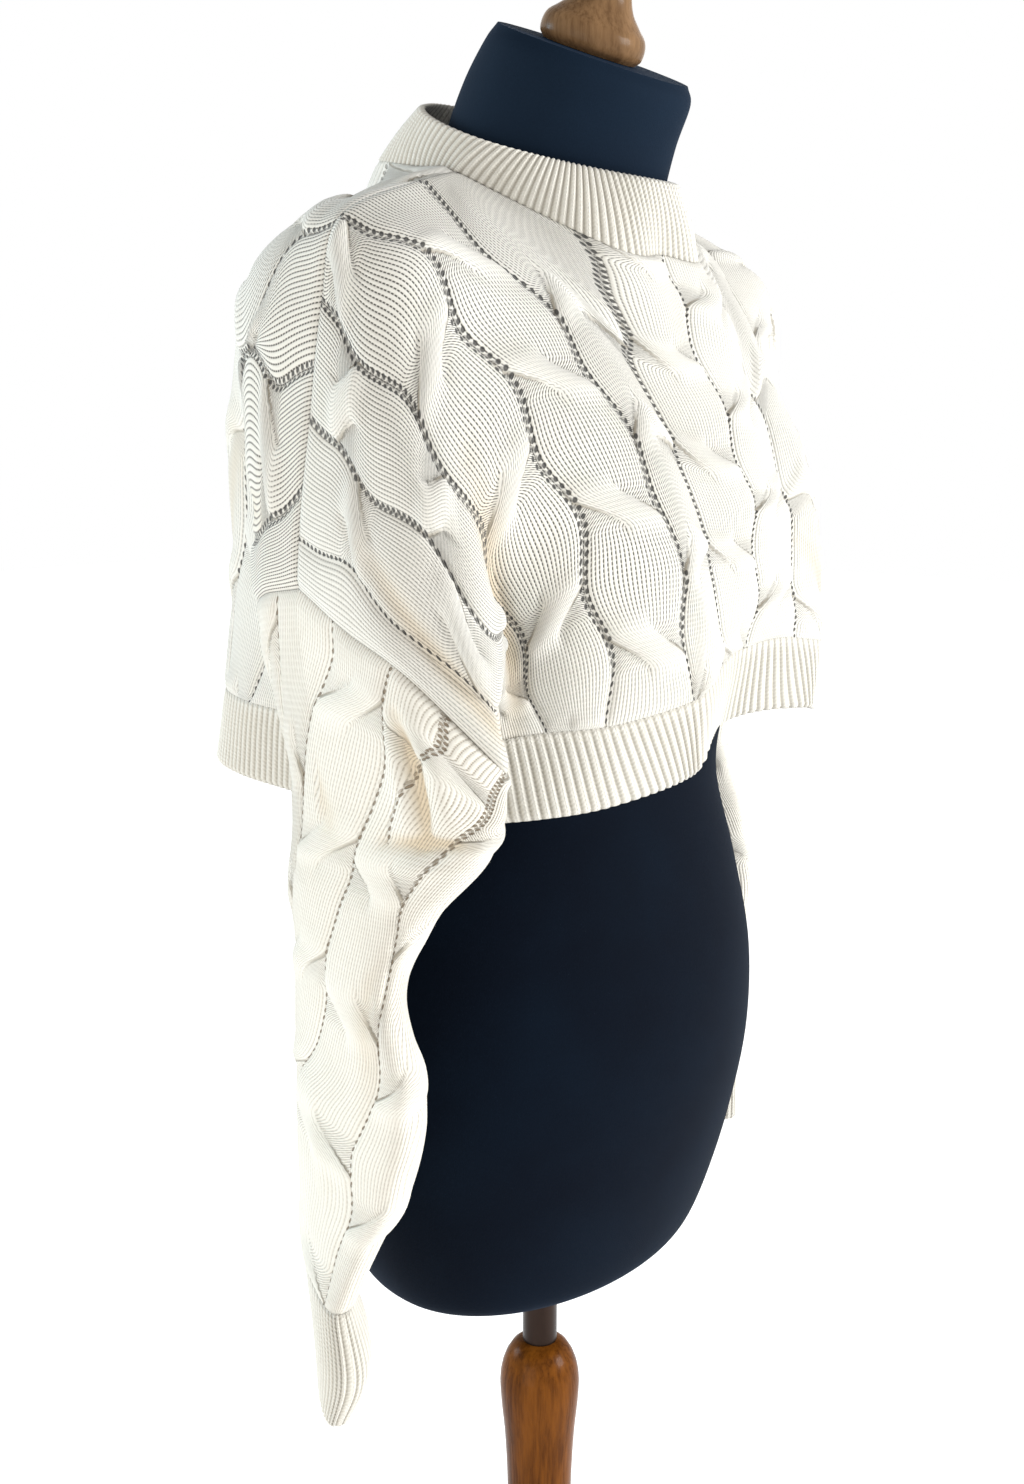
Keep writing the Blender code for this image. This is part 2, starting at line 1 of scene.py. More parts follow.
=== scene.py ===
"""A cropped cable-knit sweater on a limbless dress form with a turned wood stand.

Metres, +Z up. The wearer faces -Y and the wearer's left is +X. Knitted panels are measured in
their own flat pattern: u runs across a panel from its middle, and a course is a row of knitting,
counted down from the shoulder seam to the hem.
"""

import logging
import math
from dataclasses import dataclass, field
from enum import Enum
from typing import Dict, List, Optional, Sequence, Tuple, Union

import bpy
import numpy as np
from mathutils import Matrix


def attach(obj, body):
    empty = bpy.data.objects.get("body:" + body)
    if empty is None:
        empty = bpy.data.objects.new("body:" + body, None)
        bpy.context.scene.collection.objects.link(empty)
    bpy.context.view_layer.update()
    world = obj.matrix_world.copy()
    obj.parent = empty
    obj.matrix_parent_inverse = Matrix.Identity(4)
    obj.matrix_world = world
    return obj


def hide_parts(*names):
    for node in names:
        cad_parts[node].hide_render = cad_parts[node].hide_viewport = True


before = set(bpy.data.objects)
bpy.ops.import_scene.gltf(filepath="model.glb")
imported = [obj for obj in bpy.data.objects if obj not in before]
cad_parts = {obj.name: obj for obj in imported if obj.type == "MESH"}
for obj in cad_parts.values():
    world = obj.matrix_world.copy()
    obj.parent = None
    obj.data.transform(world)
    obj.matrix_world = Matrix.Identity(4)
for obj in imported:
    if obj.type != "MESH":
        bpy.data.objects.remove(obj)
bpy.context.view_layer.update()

Grid = np.ndarray
Pair = Tuple[float, float]
Point = Tuple[float, float, float]
Colour = Tuple[float, float, float]
Things = Dict[str, bpy.types.Object]  # objects, by the node that each stands for
Socket = bpy.types.NodeSocket
Value = Union[float, Socket]
Setting = Union[Value, Sequence[float]]

LOG = logging.getLogger("aran_sweater")

# ---- knitted panels
# Stations across half a panel: the middle, then each ladder of open stitches out to the armhole.
STATION_U = (0.0, 0.059, 0.085, 0.118, 0.177, 0.236, 0.295, 0.354, 0.379)
LADDER_PITCH = 0.059  # from one ladder of open stitches to the next
COURSE = 0.055  # length of a course of the tables, along the knitting
NECK_HALF = 0.085  # half the neckline, across the flat panel
NECK_CORNER_REACH = 0.6  # courses down which the corner beside the neck fades out
UNDERARM_COURSE = 4  # where the armhole ends and the side seam starts
RIB_COURSE = 6  # where the hem rib is sewn on
HEM_COURSE = 7  # lower edge of the hem rib
WALL = 0.002  # thickness of the cloth between its cables

# Where each course passes each station on the wearer's right half, mirrored to x > 0: (x, y, z).
FRONT_COURSES = (
    ("shoulder", (0.000, -0.085, 1.345), (0.059, -0.072, 1.353), (0.083, -0.004, 1.388),
     (0.118, -0.012, 1.379), (0.184, -0.018, 1.354), (0.198, -0.018, 1.312),
     (0.207, -0.017, 1.255), (0.2145, -0.015, 1.195), (0.2165, -0.015, 1.170)),
    ("yoke", (0.000, -0.102, 1.310), (0.058, -0.092, 1.315), (0.096, -0.044, 1.356),
     (0.118, -0.051, 1.345), (0.172, -0.060, 1.334), (0.203, -0.055, 1.280),
     (0.214, -0.060, 1.225), (0.222, -0.055, 1.180), (0.225, -0.058, 1.152)),
    ("chest", (0.000, -0.122, 1.270), (0.054, -0.109, 1.278), (0.080, -0.092, 1.306),
     (0.101, -0.092, 1.302), (0.157, -0.084, 1.292), (0.198, -0.087, 1.248),
     (0.212, -0.097, 1.200), (0.224, -0.095, 1.155), (0.226, -0.100, 1.134)),
    ("fold", (0.000, -0.140, 1.233), (0.050, -0.130, 1.239), (0.074, -0.124, 1.260),
     (0.094, -0.123, 1.258), (0.144, -0.110, 1.248), (0.186, -0.110, 1.205),
     (0.195, -0.126, 1.155), (0.205, -0.138, 1.118), (0.203, -0.144, 1.090)),
    ("bust", (0.000, -0.150, 1.200), (0.046, -0.145, 1.201), (0.070, -0.148, 1.212),
     (0.086, -0.148, 1.211), (0.131, -0.126, 1.201), (0.160, -0.100, 1.168),
     (0.166, -0.108, 1.148), (0.176, -0.100, 1.138), (0.186, -0.080, 1.134)),
    ("waist", (0.000, -0.153, 1.164), (0.042, -0.153, 1.164), (0.064, -0.158, 1.162),
     (0.079, -0.158, 1.160), (0.121, -0.135, 1.152), (0.145, -0.106, 1.132),
     (0.163, -0.096, 1.117), (0.173, -0.080, 1.110), (0.180, -0.062, 1.108)),
    ("rib", (0.000, -0.149, 1.128), (0.037, -0.155, 1.124), (0.060, -0.161, 1.114),
     (0.074, -0.159, 1.109), (0.116, -0.139, 1.100), (0.142, -0.114, 1.097),
     (0.163, -0.090, 1.092), (0.172, -0.055, 1.090), (0.174, -0.028, 1.090)),
    ("hem", (0.000, -0.136, 1.083), (0.036, -0.148, 1.080), (0.058, -0.158, 1.072),
     (0.070, -0.156, 1.066), (0.115, -0.140, 1.057), (0.145, -0.119, 1.053),
     (0.163, -0.088, 1.049), (0.172, -0.048, 1.048), (0.173, -0.016, 1.048)),
)
BACK_COURSES = (
    # From the neck point out the two shoulders are sewn together.
    ("shoulder", (0.000, 0.090, 1.408), (0.059, 0.070, 1.403)) + FRONT_COURSES[0][3:],
    ("yoke", (0.000, 0.117, 1.364), (0.060, 0.101, 1.366), (0.097, 0.040, 1.379),
     (0.121, 0.034, 1.374), (0.174, 0.030, 1.350), (0.199, 0.020, 1.310),
     (0.207, 0.016, 1.252), (0.213, 0.016, 1.190), (0.2145, 0.014, 1.165)),
    ("blade", (0.000, 0.132, 1.314), (0.058, 0.124, 1.318), (0.090, 0.096, 1.342),
     (0.118, 0.086, 1.346), (0.164, 0.072, 1.332), (0.191, 0.052, 1.290),
     (0.200, 0.036, 1.236), (0.202, 0.028, 1.178), (0.203, 0.025, 1.156)),
    ("back", (0.000, 0.140, 1.262), (0.058, 0.137, 1.265), (0.088, 0.130, 1.282),
     (0.114, 0.122, 1.286), (0.153, 0.100, 1.284), (0.180, 0.056, 1.250),
     (0.188, 0.010, 1.212), (0.192, -0.022, 1.180), (0.196, -0.032, 1.156)),
    ("flank", (0.000, 0.148, 1.204), (0.056, 0.147, 1.205), (0.084, 0.146, 1.216),
     (0.110, 0.141, 1.224), (0.151, 0.110, 1.228), (0.171, 0.050, 1.202),
     (0.172, -0.008, 1.168), (0.176, -0.050, 1.140), (0.186, -0.080, 1.134)),
    ("waist", (0.000, 0.153, 1.148), (0.055, 0.152, 1.148), (0.082, 0.151, 1.152),
     (0.107, 0.146, 1.158), (0.147, 0.116, 1.161), (0.169, 0.070, 1.150),
     (0.176, 0.024, 1.138), (0.180, -0.020, 1.124), (0.180, -0.062, 1.108)),
    ("rib", (0.000, 0.158, 1.100), (0.054, 0.158, 1.100), (0.080, 0.157, 1.100),
     (0.106, 0.152, 1.099), (0.147, 0.126, 1.098), (0.167, 0.088, 1.096),
     (0.172, 0.045, 1.094), (0.174, 0.001, 1.091), (0.174, -0.028, 1.090)),
    ("hem", (0.000, 0.160, 1.054), (0.054, 0.160, 1.054), (0.082, 0.160, 1.054),
     (0.108, 0.156, 1.053), (0.149, 0.134, 1.052), (0.168, 0.094, 1.051),
     (0.172, 0.050, 1.049), (0.174, 0.010, 1.048), (0.173, -0.016, 1.048)),
)
# The wearer's left half hangs further back and a little higher from its outer columns: how far
# each course of it moves back (y) and up (z).
LEFT_HANG = (
    ("shoulder", 0.000, 0.000), ("yoke", 0.028, 0.004), ("chest", 0.055, 0.008),
    ("fold", 0.085, 0.010), ("bust", 0.075, 0.014), ("waist", 0.060, 0.016),
    ("rib", 0.035, 0.018), ("hem", 0.032, 0.020),
)
# How much of that each station of the left half does: of y at the front, of z at the front, and
# of both at the back.
LEFT_FRONT_BACKWARDS = (0.00, 0.02, 0.10, 0.20, 0.40, 0.85, 1.00, 1.00, 1.00)
LEFT_FRONT_UPWARDS = (0.12, 0.45, 0.80, 1.00, 1.00, 1.00, 1.00, 1.00, 1.00)
LEFT_BACK = (0.00, 0.00, 0.00, 0.00, 0.00, 0.30, 0.70, 0.95, 1.00)
LEFT_NECK_MOVE = (-0.001, 0.010, 0.002)  # and of its first ladder, at the front neckline

# ---- sleeve, collar
# An empty sleeve hangs flat. Sections down it, mirrored to x > 0: the middle (x, y, z), half of
# its flat width, half of its depth, and how far its front edge turns outwards from -Y.
RIGHT_SLEEVE = (
    # x, y, z, half_width, half_depth, turn_degrees
    (0.208, -0.065, 1.045, 0.072, 0.020, 10.0),
    (0.2085, -0.047, 1.012, 0.059, 0.018, 14.0),
    (0.2085, -0.038, 0.975, 0.054, 0.016, 20.0),
    (0.208, -0.044, 0.920, 0.064, 0.017, 19.0),
    (0.2095, -0.038, 0.870, 0.062, 0.016, 22.0),
    (0.212, -0.028, 0.830, 0.055, 0.012, 29.0),
    (0.214, -0.022, 0.797, 0.049, 0.010, 35.0),
)
RIGHT_CUFF = (
    (0.214, -0.022, 0.797, 0.049, 0.010, 35.0),
    (0.215, -0.034, 0.763, 0.048, 0.0145, 39.0),
    (0.216, -0.029, 0.732, 0.043, 0.009, 43.0),
)
LEFT_SLEEVE = (
    (0.206, 0.062, 1.045, 0.062, 0.020, 8.0),
    (0.206, 0.060, 1.012, 0.060, 0.018, 12.0),
    (0.2065, 0.050, 0.975, 0.060, 0.017, 16.0),
    (0.207, 0.040, 0.920, 0.060, 0.016, 18.0),
    (0.208, 0.046, 0.870, 0.058, 0.015, 20.0),
    (0.210, 0.044, 0.830, 0.054, 0.013, 24.0),
    (0.212, 0.042, 0.790, 0.050, 0.011, 28.0),
)
LEFT_CUFF = (
    (0.212, 0.042, 0.790, 0.050, 0.011, 28.0),
    (0.213, 0.038, 0.757, 0.047, 0.012, 30.0),
    (0.214, 0.034, 0.724, 0.043, 0.010, 32.0),
)
FOLD_FULLNESS = 0.7  # below 1 the folded edges of a flat sleeve are rounder than an oval's
FRONT_EDGE_SHARE = 0.375  # share of the way round the armhole, from the shoulder, of its front edge
REAR_EDGE_SHARE = 0.790  # and of its rear edge

# Upper edge of the mock neck: an oval that rises backwards, and dips a little at the sides.
COLLAR_TOP = {"y": -0.004, "z": 1.411, "half_width": 0.074, "half_depth": 0.074,
              "slope": 0.385, "curl": 1.0}

# ---- form and stand
# Sections up the dress form: height and y of the middle, half width, reach forwards and
# backwards, and the forward tilt of the section.
FORM_SECTIONS = (
    # z, y, half_width, front, back, tilt_degrees
    (0.721, 0.000, 0.108, 0.068, 0.090, 0.0),
    (0.724, 0.000, 0.120, 0.077, 0.099, 0.0),
    (0.736, 0.000, 0.132, 0.086, 0.109, 0.0),
    (0.765, 0.000, 0.145, 0.096, 0.118, 0.0),
    (0.808, 0.000, 0.158, 0.107, 0.128, 0.0),
    (0.862, 0.000, 0.168, 0.116, 0.136, 0.0),
    (0.920, 0.000, 0.165, 0.117, 0.130, 0.0),
    (0.980, 0.000, 0.149, 0.108, 0.112, 0.0),
    (1.040, 0.000, 0.130, 0.098, 0.090, 0.0),
    (1.100, 0.000, 0.136, 0.103, 0.092, 0.0),
    (1.170, 0.000, 0.146, 0.106, 0.102, 0.0),
    (1.240, 0.000, 0.152, 0.094, 0.112, 0.0),
    (1.290, 0.000, 0.164, 0.076, 0.107, 0.0),
    (1.320, 0.000, 0.173, 0.058, 0.094, 0.0),
    (1.339, 0.000, 0.168, 0.045, 0.076, 0.0),
    (1.352, 0.000, 0.140, 0.043, 0.068, 3.0),
    (1.365, 0.000, 0.102, 0.052, 0.062, 9.0),
    (1.382, -0.002, 0.072, 0.0655, 0.060, 17.0),
    (1.405, -0.006, 0.066, 0.070, 0.060, 20.0),
    (1.430, -0.016, 0.064, 0.0685, 0.057, 21.5),
    (1.450, -0.028, 0.063, 0.0655, 0.053, 22.0),
    (1.459, -0.032, 0.059, 0.060, 0.049, 23.0),
)
BUST = {"x": 0.082, "z": 1.180, "height": 0.042, "spread_x": 0.042, "spread_z": 0.046}

NECK_TOP = {"y": -0.032, "z": 1.459, "tilt": 23.0}
FINIAL_PROFILE = ((0.027, 0.000), (0.0298, 0.003), (0.0305, 0.008), (0.0292, 0.0135),
                  (0.024, 0.019), (0.018, 0.0255), (0.0142, 0.034), (0.0135, 0.043),
                  (0.016, 0.052), (0.0188, 0.060), (0.0182, 0.068), (0.0145, 0.075),
                  (0.008, 0.0795))
POLE_PROFILE = ((0.0215, 0.045), (0.0215, 0.400), (0.0218, 0.500), (0.0222, 0.548),
                (0.024, 0.580), (0.0262, 0.603), (0.0268, 0.618), (0.0253, 0.628),
                (0.0218, 0.637), (0.017, 0.6435), (0.0135, 0.646))
BASE_PROFILE = ((0.170, 0.000), (0.178, 0.006), (0.178, 0.018), (0.170, 0.026), (0.110, 0.030),
                (0.060, 0.035), (0.038, 0.0447))
TUBE_RADIUS = 0.0115

TUBE_SPAN = (0.6463, 0.7207)  # foot and top of the steel tube
TOUCH_GAP = 0.0003  # between two hard pieces that stand on each other

# ---- shared numbers
LINE_POINTS = 401  # of a line, before it is cut into even steps
NO_LADDER = 0.05  # m: the distance that stands for no ladder near
NOWHERE = 9.0  # a place across that lies outside every piece
MM = 1000.0  # millimetres in a metre
TINY = 1e-4  # m: keeps a narrow column from dividing by nothing
FULL_TURN = 2.0 * math.pi


class Side(Enum):
    """The wearer's two sides."""

    RIGHT = -1
    LEFT = 1


class Slant(Enum):
    """Which way the upper strand of a crossing runs as it goes down."""

    TO_RIGHT = -1  # towards smaller u
    TO_LEFT = 1  # towards larger u


# ---- curves and grids
def spline(knots: Sequence[float], values: Grid, at: Grid) -> Grid:
    """Smooth values at the given places.

    Args:
        knots: Places where the values are known, rising.
        values: The values there, along the first axis.
        at: The places asked for.

    Returns:
        The values at those places, along the first axis.
    """
    knots = np.asarray(knots, float)
    values = np.asarray(values, float)
    at = np.atleast_1d(np.asarray(at, float))
    steps = np.diff(knots)
    wide = (-1,) + (1,) * (values.ndim - 1)
    slopes = np.diff(values, axis=0) / steps.reshape(wide)
    tangents = np.empty_like(values)
    tangents[0] = slopes[0]
    tangents[-1] = slopes[-1]
    before = steps[:-1].reshape(wide)
    after = steps[1:].reshape(wide)
    tangents[1:-1] = (slopes[:-1] * after + slopes[1:] * before) / (before + after)
    left = np.clip(np.searchsorted(knots, at, side="right") - 1, 0, len(steps) - 1)
    step = steps[left].reshape(wide)
    part = ((at - knots[left]) / steps[left]).reshape(wide)
    start = values[left] * (2 * part**3 - 3 * part**2 + 1)
    finish = values[left + 1] * (3 * part**2 - 2 * part**3)
    leave = tangents[left] * step * (part**3 - 2 * part**2 + part)
    arrive = tangents[left + 1] * step * (part**3 - part**2)
    return start + finish + leave + arrive


def ramp(value: Grid, low: float, high: float) -> Grid:
    """A smooth step from 0 at low to 1 at high."""
    part = np.clip((value - low) / (high - low), 0.0, 1.0)
    return part * part * (3.0 - 2.0 * part)


def swell(value: Grid, middle: float, reach: float) -> Grid:
    """A bell of height 1 round a middle."""
    return np.exp(-(((value - middle) / reach) ** 2))


def left_half(courses: Tuple) -> Grid:
    """The stations of a panel's wearer's left half, moved back and up as that side hangs.

    Args:
        courses: One of the two tables of courses.

    Returns:
        Points, a row for each course and a column for each station.
    """
    points = np.array([row[1:] for row in courses], float)
    moves = np.array([row[1:] for row in LEFT_HANG])
    if courses is FRONT_COURSES:
        points[0, 1] += np.array(LEFT_NECK_MOVE)
        points[:, :, 1] += moves[:, :1] * np.array(LEFT_FRONT_BACKWARDS)
        points[:, :, 2] += moves[:, 1:] * np.array(LEFT_FRONT_UPWARDS)
    else:
        points[:, :, 1:] += moves[:, None, :] * np.array(LEFT_BACK)[:, None]
    return points


def panel_points(courses: Tuple, across: Grid, down: Grid) -> Grid:
    """A grid of points on a panel.

    Sewn edges are worked out from their own stations only, so that both pieces get the same line.

    Args:
        courses: The panel's table.
        across: Places across it, in u.
        down: Places down it, in courses.

    Returns:
        Points, a row for each place down and a column for each place across.
    """
    across = np.asarray(across, float)
    down = np.asarray(down, float)
    right = np.array([row[1:] for row in courses], float) * np.array([-1.0, 1.0, 1.0])
    left = left_half(courses)
    right[:, 0] = left[:, 0]
    whole = np.concatenate([right[:, :0:-1], left], axis=1)
    u_left = np.array(STATION_U)
    u_whole = np.concatenate([-u_left[:0:-1], u_left])
    rows = spline(range(len(courses)), whole, down)
    sewn = down >= UNDERARM_COURSE
    if sewn.any():
        for edge in (0, -1):
            rows[sewn, edge] = spline(range(UNDERARM_COURSE, len(courses)),
                                      whole[UNDERARM_COURSE:, edge], down[sewn])
    grid = spline(u_whole, rows.transpose(1, 0, 2), across).transpose(1, 0, 2)
    cornered = 1.0 - ramp(down, 0.0, NECK_CORNER_REACH)
    for low, high in ((-1.0, -NECK_HALF), (-NECK_HALF, NECK_HALF), (NECK_HALF, 1.0)):
        asked = (across >= low) & (across <= high)
        known = (u_whole >= low) & (u_whole <= high)
        if asked.any() and cornered.any():
            bent = spline(u_whole[known], rows[:, known].transpose(1, 0, 2), across[asked])
            bent = bent.transpose(1, 0, 2)
            grid[:, asked] += cornered[:, None, None] * (bent - grid[:, asked])
    return grid


def oval(section: Tuple, shares: Grid, side: Side) -> Grid:
    """Points round a flat-hanging section of a sleeve.

    Args:
        section: A row of a sleeve's table.
        shares: Places round it, as shares of the way from the shoulder line.
        side: The wearer's side.

    Returns:
        A point for each share.
    """
    x, y, z, half_width, half_depth, turn = section
    edges = (REAR_EDGE_SHARE - 1, FRONT_EDGE_SHARE, REAR_EDGE_SHARE, FRONT_EDGE_SHARE + 1)
    angle = np.interp(shares, edges, np.pi * np.array([1, 0, -1, -2]))
    turned = math.radians(turn)
    forwards = half_width * np.cos(angle)
    outwards = half_depth * np.sign(np.sin(angle)) * np.abs(np.sin(angle)) ** FOLD_FULLNESS
    px = x + forwards * math.sin(turned) + outwards * math.cos(turned)
    py = y - forwards * math.cos(turned) + outwards * math.sin(turned)
    return np.stack([side.value * px, py, np.full_like(px, z)], axis=-1)


def armhole_loop(side: Side, shares: Grid) -> Grid:
    """The armhole edge of the front, then of the back, as one loop from the shoulder seam.

    Args:
        side: The wearer's side.
        shares: Places round it, from 0 to 1.

    Returns:
        A point for each share.
    """
    edge = [side.value * STATION_U[-1]]
    down = 2 * UNDERARM_COURSE * np.minimum(shares, 1.0 - shares)
    order = np.argsort(down)
    front = np.empty((len(down), 3))
    back = np.empty((len(down), 3))
    front[order] = panel_points(FRONT_COURSES, edge, down[order])[:, 0]
    back[order] = panel_points(BACK_COURSES, edge, down[order])[:, 0]
    return np.where((shares <= 0.5)[:, None], front, back)


def gap_lengths(points: Grid) -> Grid:
    """Distances from each point to the next, along the second axis."""
    return np.linalg.norm(np.diff(points, axis=1), axis=2)


def run_along(line: Grid) -> Grid:
    """Distance of each point of a line from its first, along the line."""
    return np.concatenate([[0.0], np.cumsum(np.linalg.norm(np.diff(line, axis=0), axis=1))])


def even_steps(line: Grid, shares: Grid) -> Grid:
    """Points along a line.

    Args:
        line: The line's own points.
        shares: Places along it, as shares of its length.

    Returns:
        A point for each share.
    """
    run = run_along(line)
    return np.stack([np.interp(shares, run / run[-1], line[:, part]) for part in range(3)], axis=-1)


def down_lengths(points: Grid) -> Grid:
    """How far down the middle of a tube each of its rows lies."""
    return run_along(points.mean(axis=1))


# ---- the cable pattern
@dataclass(frozen=True)
class Cable:
    """A column of cables: the courses or metres down to a crossing, and between crossings."""

    first: float
    spacing: float
    slant: Slant

    def nearest(self, down: Grid) -> Tuple[Grid, Grid]:
        """Number of the nearest crossing, and how far below it each place is."""
        number = np.maximum(np.round((down - self.first) / self.spacing), 0.0)
        return number, down - self.first - number * self.spacing


@dataclass(frozen=True)
class CableStitch:
    """Sizes of the cables, in metres."""

    wales: int = 26  # stitches across a column of cables
    wale_pitch: float = 0.0023  # one stitch, across
    crossing: float = 0.025  # length of a crossing, along the column
    fade: Pair = (0.6, 1.8)  # where its relief fades out, in halves of that length
    strand: float = 0.25  # half of a strand, as a share of the column
    slanting: float = 0.29  # share by which a slanting strand is narrower, square to it
    widening: float = 0.03  # share of a column that the upper strand gains as it crosses
    dome: float = 0.0018  # how far the middle of a column stands up
    dome_power: float = 0.6  # below 1 its top is flatter than a round one
    dome_loss: float = 0.45  # share of it that is gone at a crossing
    rise: float = 0.0034  # how far the upper strand stands above that
    dip: float = 0.0012  # how far the lower strand goes down beside it
    dip_reach: float = 0.004
    ladder_depth: float = 0.0016
    ladder_reach: float = 0.003
    pull: float = 0.006  # how far a crossing pulls its ladders in
    pull_reach: float = 0.023
    hole_pitch: float = 0.0048  # between two holes of one row of a ladder
    hole_lag: float = 0.37  # from one ladder's holes to the next one's, in pitches
    row_pitch: float = 0.0026  # between two rows of stitches
    # The yarn sinks each slit and paints shade in it.
    # Slits beside the upper strand: where the one ahead opens and the one behind closes, as shares
    # of a crossing, how open the one behind is, and the loss of relief over which both fade out.
    slit_start: Pair = (0.25, 0.7)
    slit_end: Pair = (0.35, 0.9)
    slit_behind: float = 0.75
    slit_fade: Pair = (0.3, 1.0)


@dataclass(frozen=True)
class Crease:
    """A soft trough or ridge in the cloth, from one place to another."""

    start: Pair  # across and down, in the units of its piece
    end: Pair
    width: float  # m
    height: float  # m, below 0 for a trough


@dataclass
class CableField:
    """Where the ladders, strands and crossings of a piece run, row by row of its grid."""

    rails: Grid  # ladders x rows: where each ladder lies across the piece
    laced: Sequence[bool]  # whether each rail is a ladder of open stitches
    down: Grid  # rows: metres down the piece
    scale: Grid  # rows: metres in one unit across
    cables: Sequence[Optional[Cable]]
    stitch: CableStitch
    short_ladders: Sequence[Grid] = ()  # more ladders: rows, far off where there is none
    fullness: Union[float, Grid] = 1.0  # columns x rows: stitches across, as a share
    swaps: Grid = field(init=False)  # columns x rows: strands swapped so far
    progress: Grid = field(init=False)  # columns x rows: of the nearest crossing, 0 to 1
    crossing: Grid = field(init=False)  # columns x rows: 1 in a crossing, fading to 0

    def __post_init__(self) -> None:
        """Work out how far each column's crossings have gone at each row."""
        shape = (len(self.cables), len(self.down))
        self.swaps = np.zeros(shape)
        self.progress = np.zeros(shape)
        self.crossing = np.zeros(shape)
        half = 0.5 * self.stitch.crossing
        full, gone = self.stitch.fade
        for index, cable in enumerate(self.cables):
            if cable:
                number, offset = cable.nearest(self.down)
                self.progress[index] = ramp(offset, -half, half)
                self.swaps[index] = number + self.progress[index]
                self.crossing[index] = 1.0 - ramp(np.abs(offset), full * half, gone * half)

    def column_at(self, row: Grid, across: Grid) -> Grid:
        """The column of cables that each place lies in.

        Args:
            row: Row of the grid.
            across: Place across the piece.

        Returns:
            Numbers of columns.
        """
        rails = self.rails[:, row]
        inside = (across >= rails).sum(axis=0) - 1
        return np.clip(inside, 0, len(self.cables) - 1)

    def shape(self, row: Grid, across: Grid, column: Grid) -> Dict[str, Grid]:
        """Where each place lies within its column.

        Args:
            row: Row of the grid.
            across: Place across the piece.
            column: Column of cables that it is measured in.

        Returns:
            part: share of the way across the column.
            edge: metres inside the upper strand's edge, below 0 outside it.
            half: half of that strand's width, in metres.
            ahead: whether the place lies on the side that the strand crosses to.
            slants, crossing, progress: the column's slant, and its crossing's relief and progress.
        """
        low = self.rails[column, row]
        spread = np.maximum(self.rails[column + 1, row] - low, TINY)
        part = (across - low) / spread
        width = spread * self.scale[row]
        progress = self.progress[column, row]
        slants = np.array([cable.slant.value if cable else 1 for cable in self.cables])[column]
        strand = self.stitch.strand
        middle = 0.5 + slants * (2.0 * strand * progress - strand)
        crossing = self.crossing[column, row]
        half = strand + self.stitch.widening * crossing
        edge = (half - np.abs(part - middle)) * width * (1.0 - self.stitch.slanting * crossing)
        return {"part": part, "edge": edge, "half": half * width, "slants": slants,
                "ahead": (part - middle) * slants > 0, "crossing": crossing, "progress": progress}

    def relief(self, row: Grid, across: Grid) -> Grid:
        """How far the knitting stands up.

        Args:
            row: Row of the grid.
            across: Place across the piece.

        Returns:
            Metres, at each place.
        """
        stitch = self.stitch
        column = self.column_at(row, across)
        at = self.shape(row, across, column)
        hump = np.clip(4.0 * at["part"] * (1.0 - at["part"]), 0.0, 1.0) ** stitch.dome_power
        height = stitch.dome * hump * (1.0 - stitch.dome_loss * at["crossing"])
        depth = np.clip(at["edge"] / np.maximum(at["half"], TINY), 0.0, 1.0)
        strand = np.sqrt(np.clip(1.0 - (1.0 - depth) ** 2, 0.0, 1.0))
        height += stitch.rise * at["crossing"] * strand
        beside = swell(np.minimum(at["edge"], 0.0), 0.0, stitch.dip_reach) * (at["edge"] < 0)
        height -= stitch.dip * at["crossing"] * beside * hump
        lace = self.lace(row, across, column, False)[0]
        height -= stitch.ladder_depth * swell(lace, 0.0, stitch.ladder_reach)
        return height

    def lace(self, row: Grid, across: Grid, column: Grid, by_face: bool) -> Tuple[Grid, Grid]:
        """Signed distance to the nearest ladder, and how many of its holes lie above.

        Args:
            row: Row of the grid.
            across: Place across the piece.
            column: Column of cables that it is measured in.
            by_face: Whether the last axis holds the corners of a face, which share a ladder.

        Returns:
            The distance in metres, and the count of holes.
        """
        def typical(value: Grid) -> Grid:
            """The value itself, or its mean over a face."""
            return value.mean(axis=-1, keepdims=True) if by_face else value

        low = self.rails[column, row]
        high = self.rails[column + 1, row]
        laced = np.array(self.laced)
        before = np.where(laced[column], (across - low) * self.scale[row], NO_LADDER)
        after = np.where(laced[column + 1], (across - high) * self.scale[row], -NO_LADDER)
        nearer = typical(before) < typical(-after)
        distance = np.where(nearer, before, after)
        ladder = np.where(nearer, column, column + 1)
        for short in self.short_ladders:
            offset = (across - short[row]) * self.scale[row]
            closer = typical(np.abs(offset)) < typical(np.abs(distance))
            distance = np.where(closer, offset, distance)
        holes = self.down[row] / self.stitch.hole_pitch + self.stitch.hole_lag * ladder
        return distance, holes

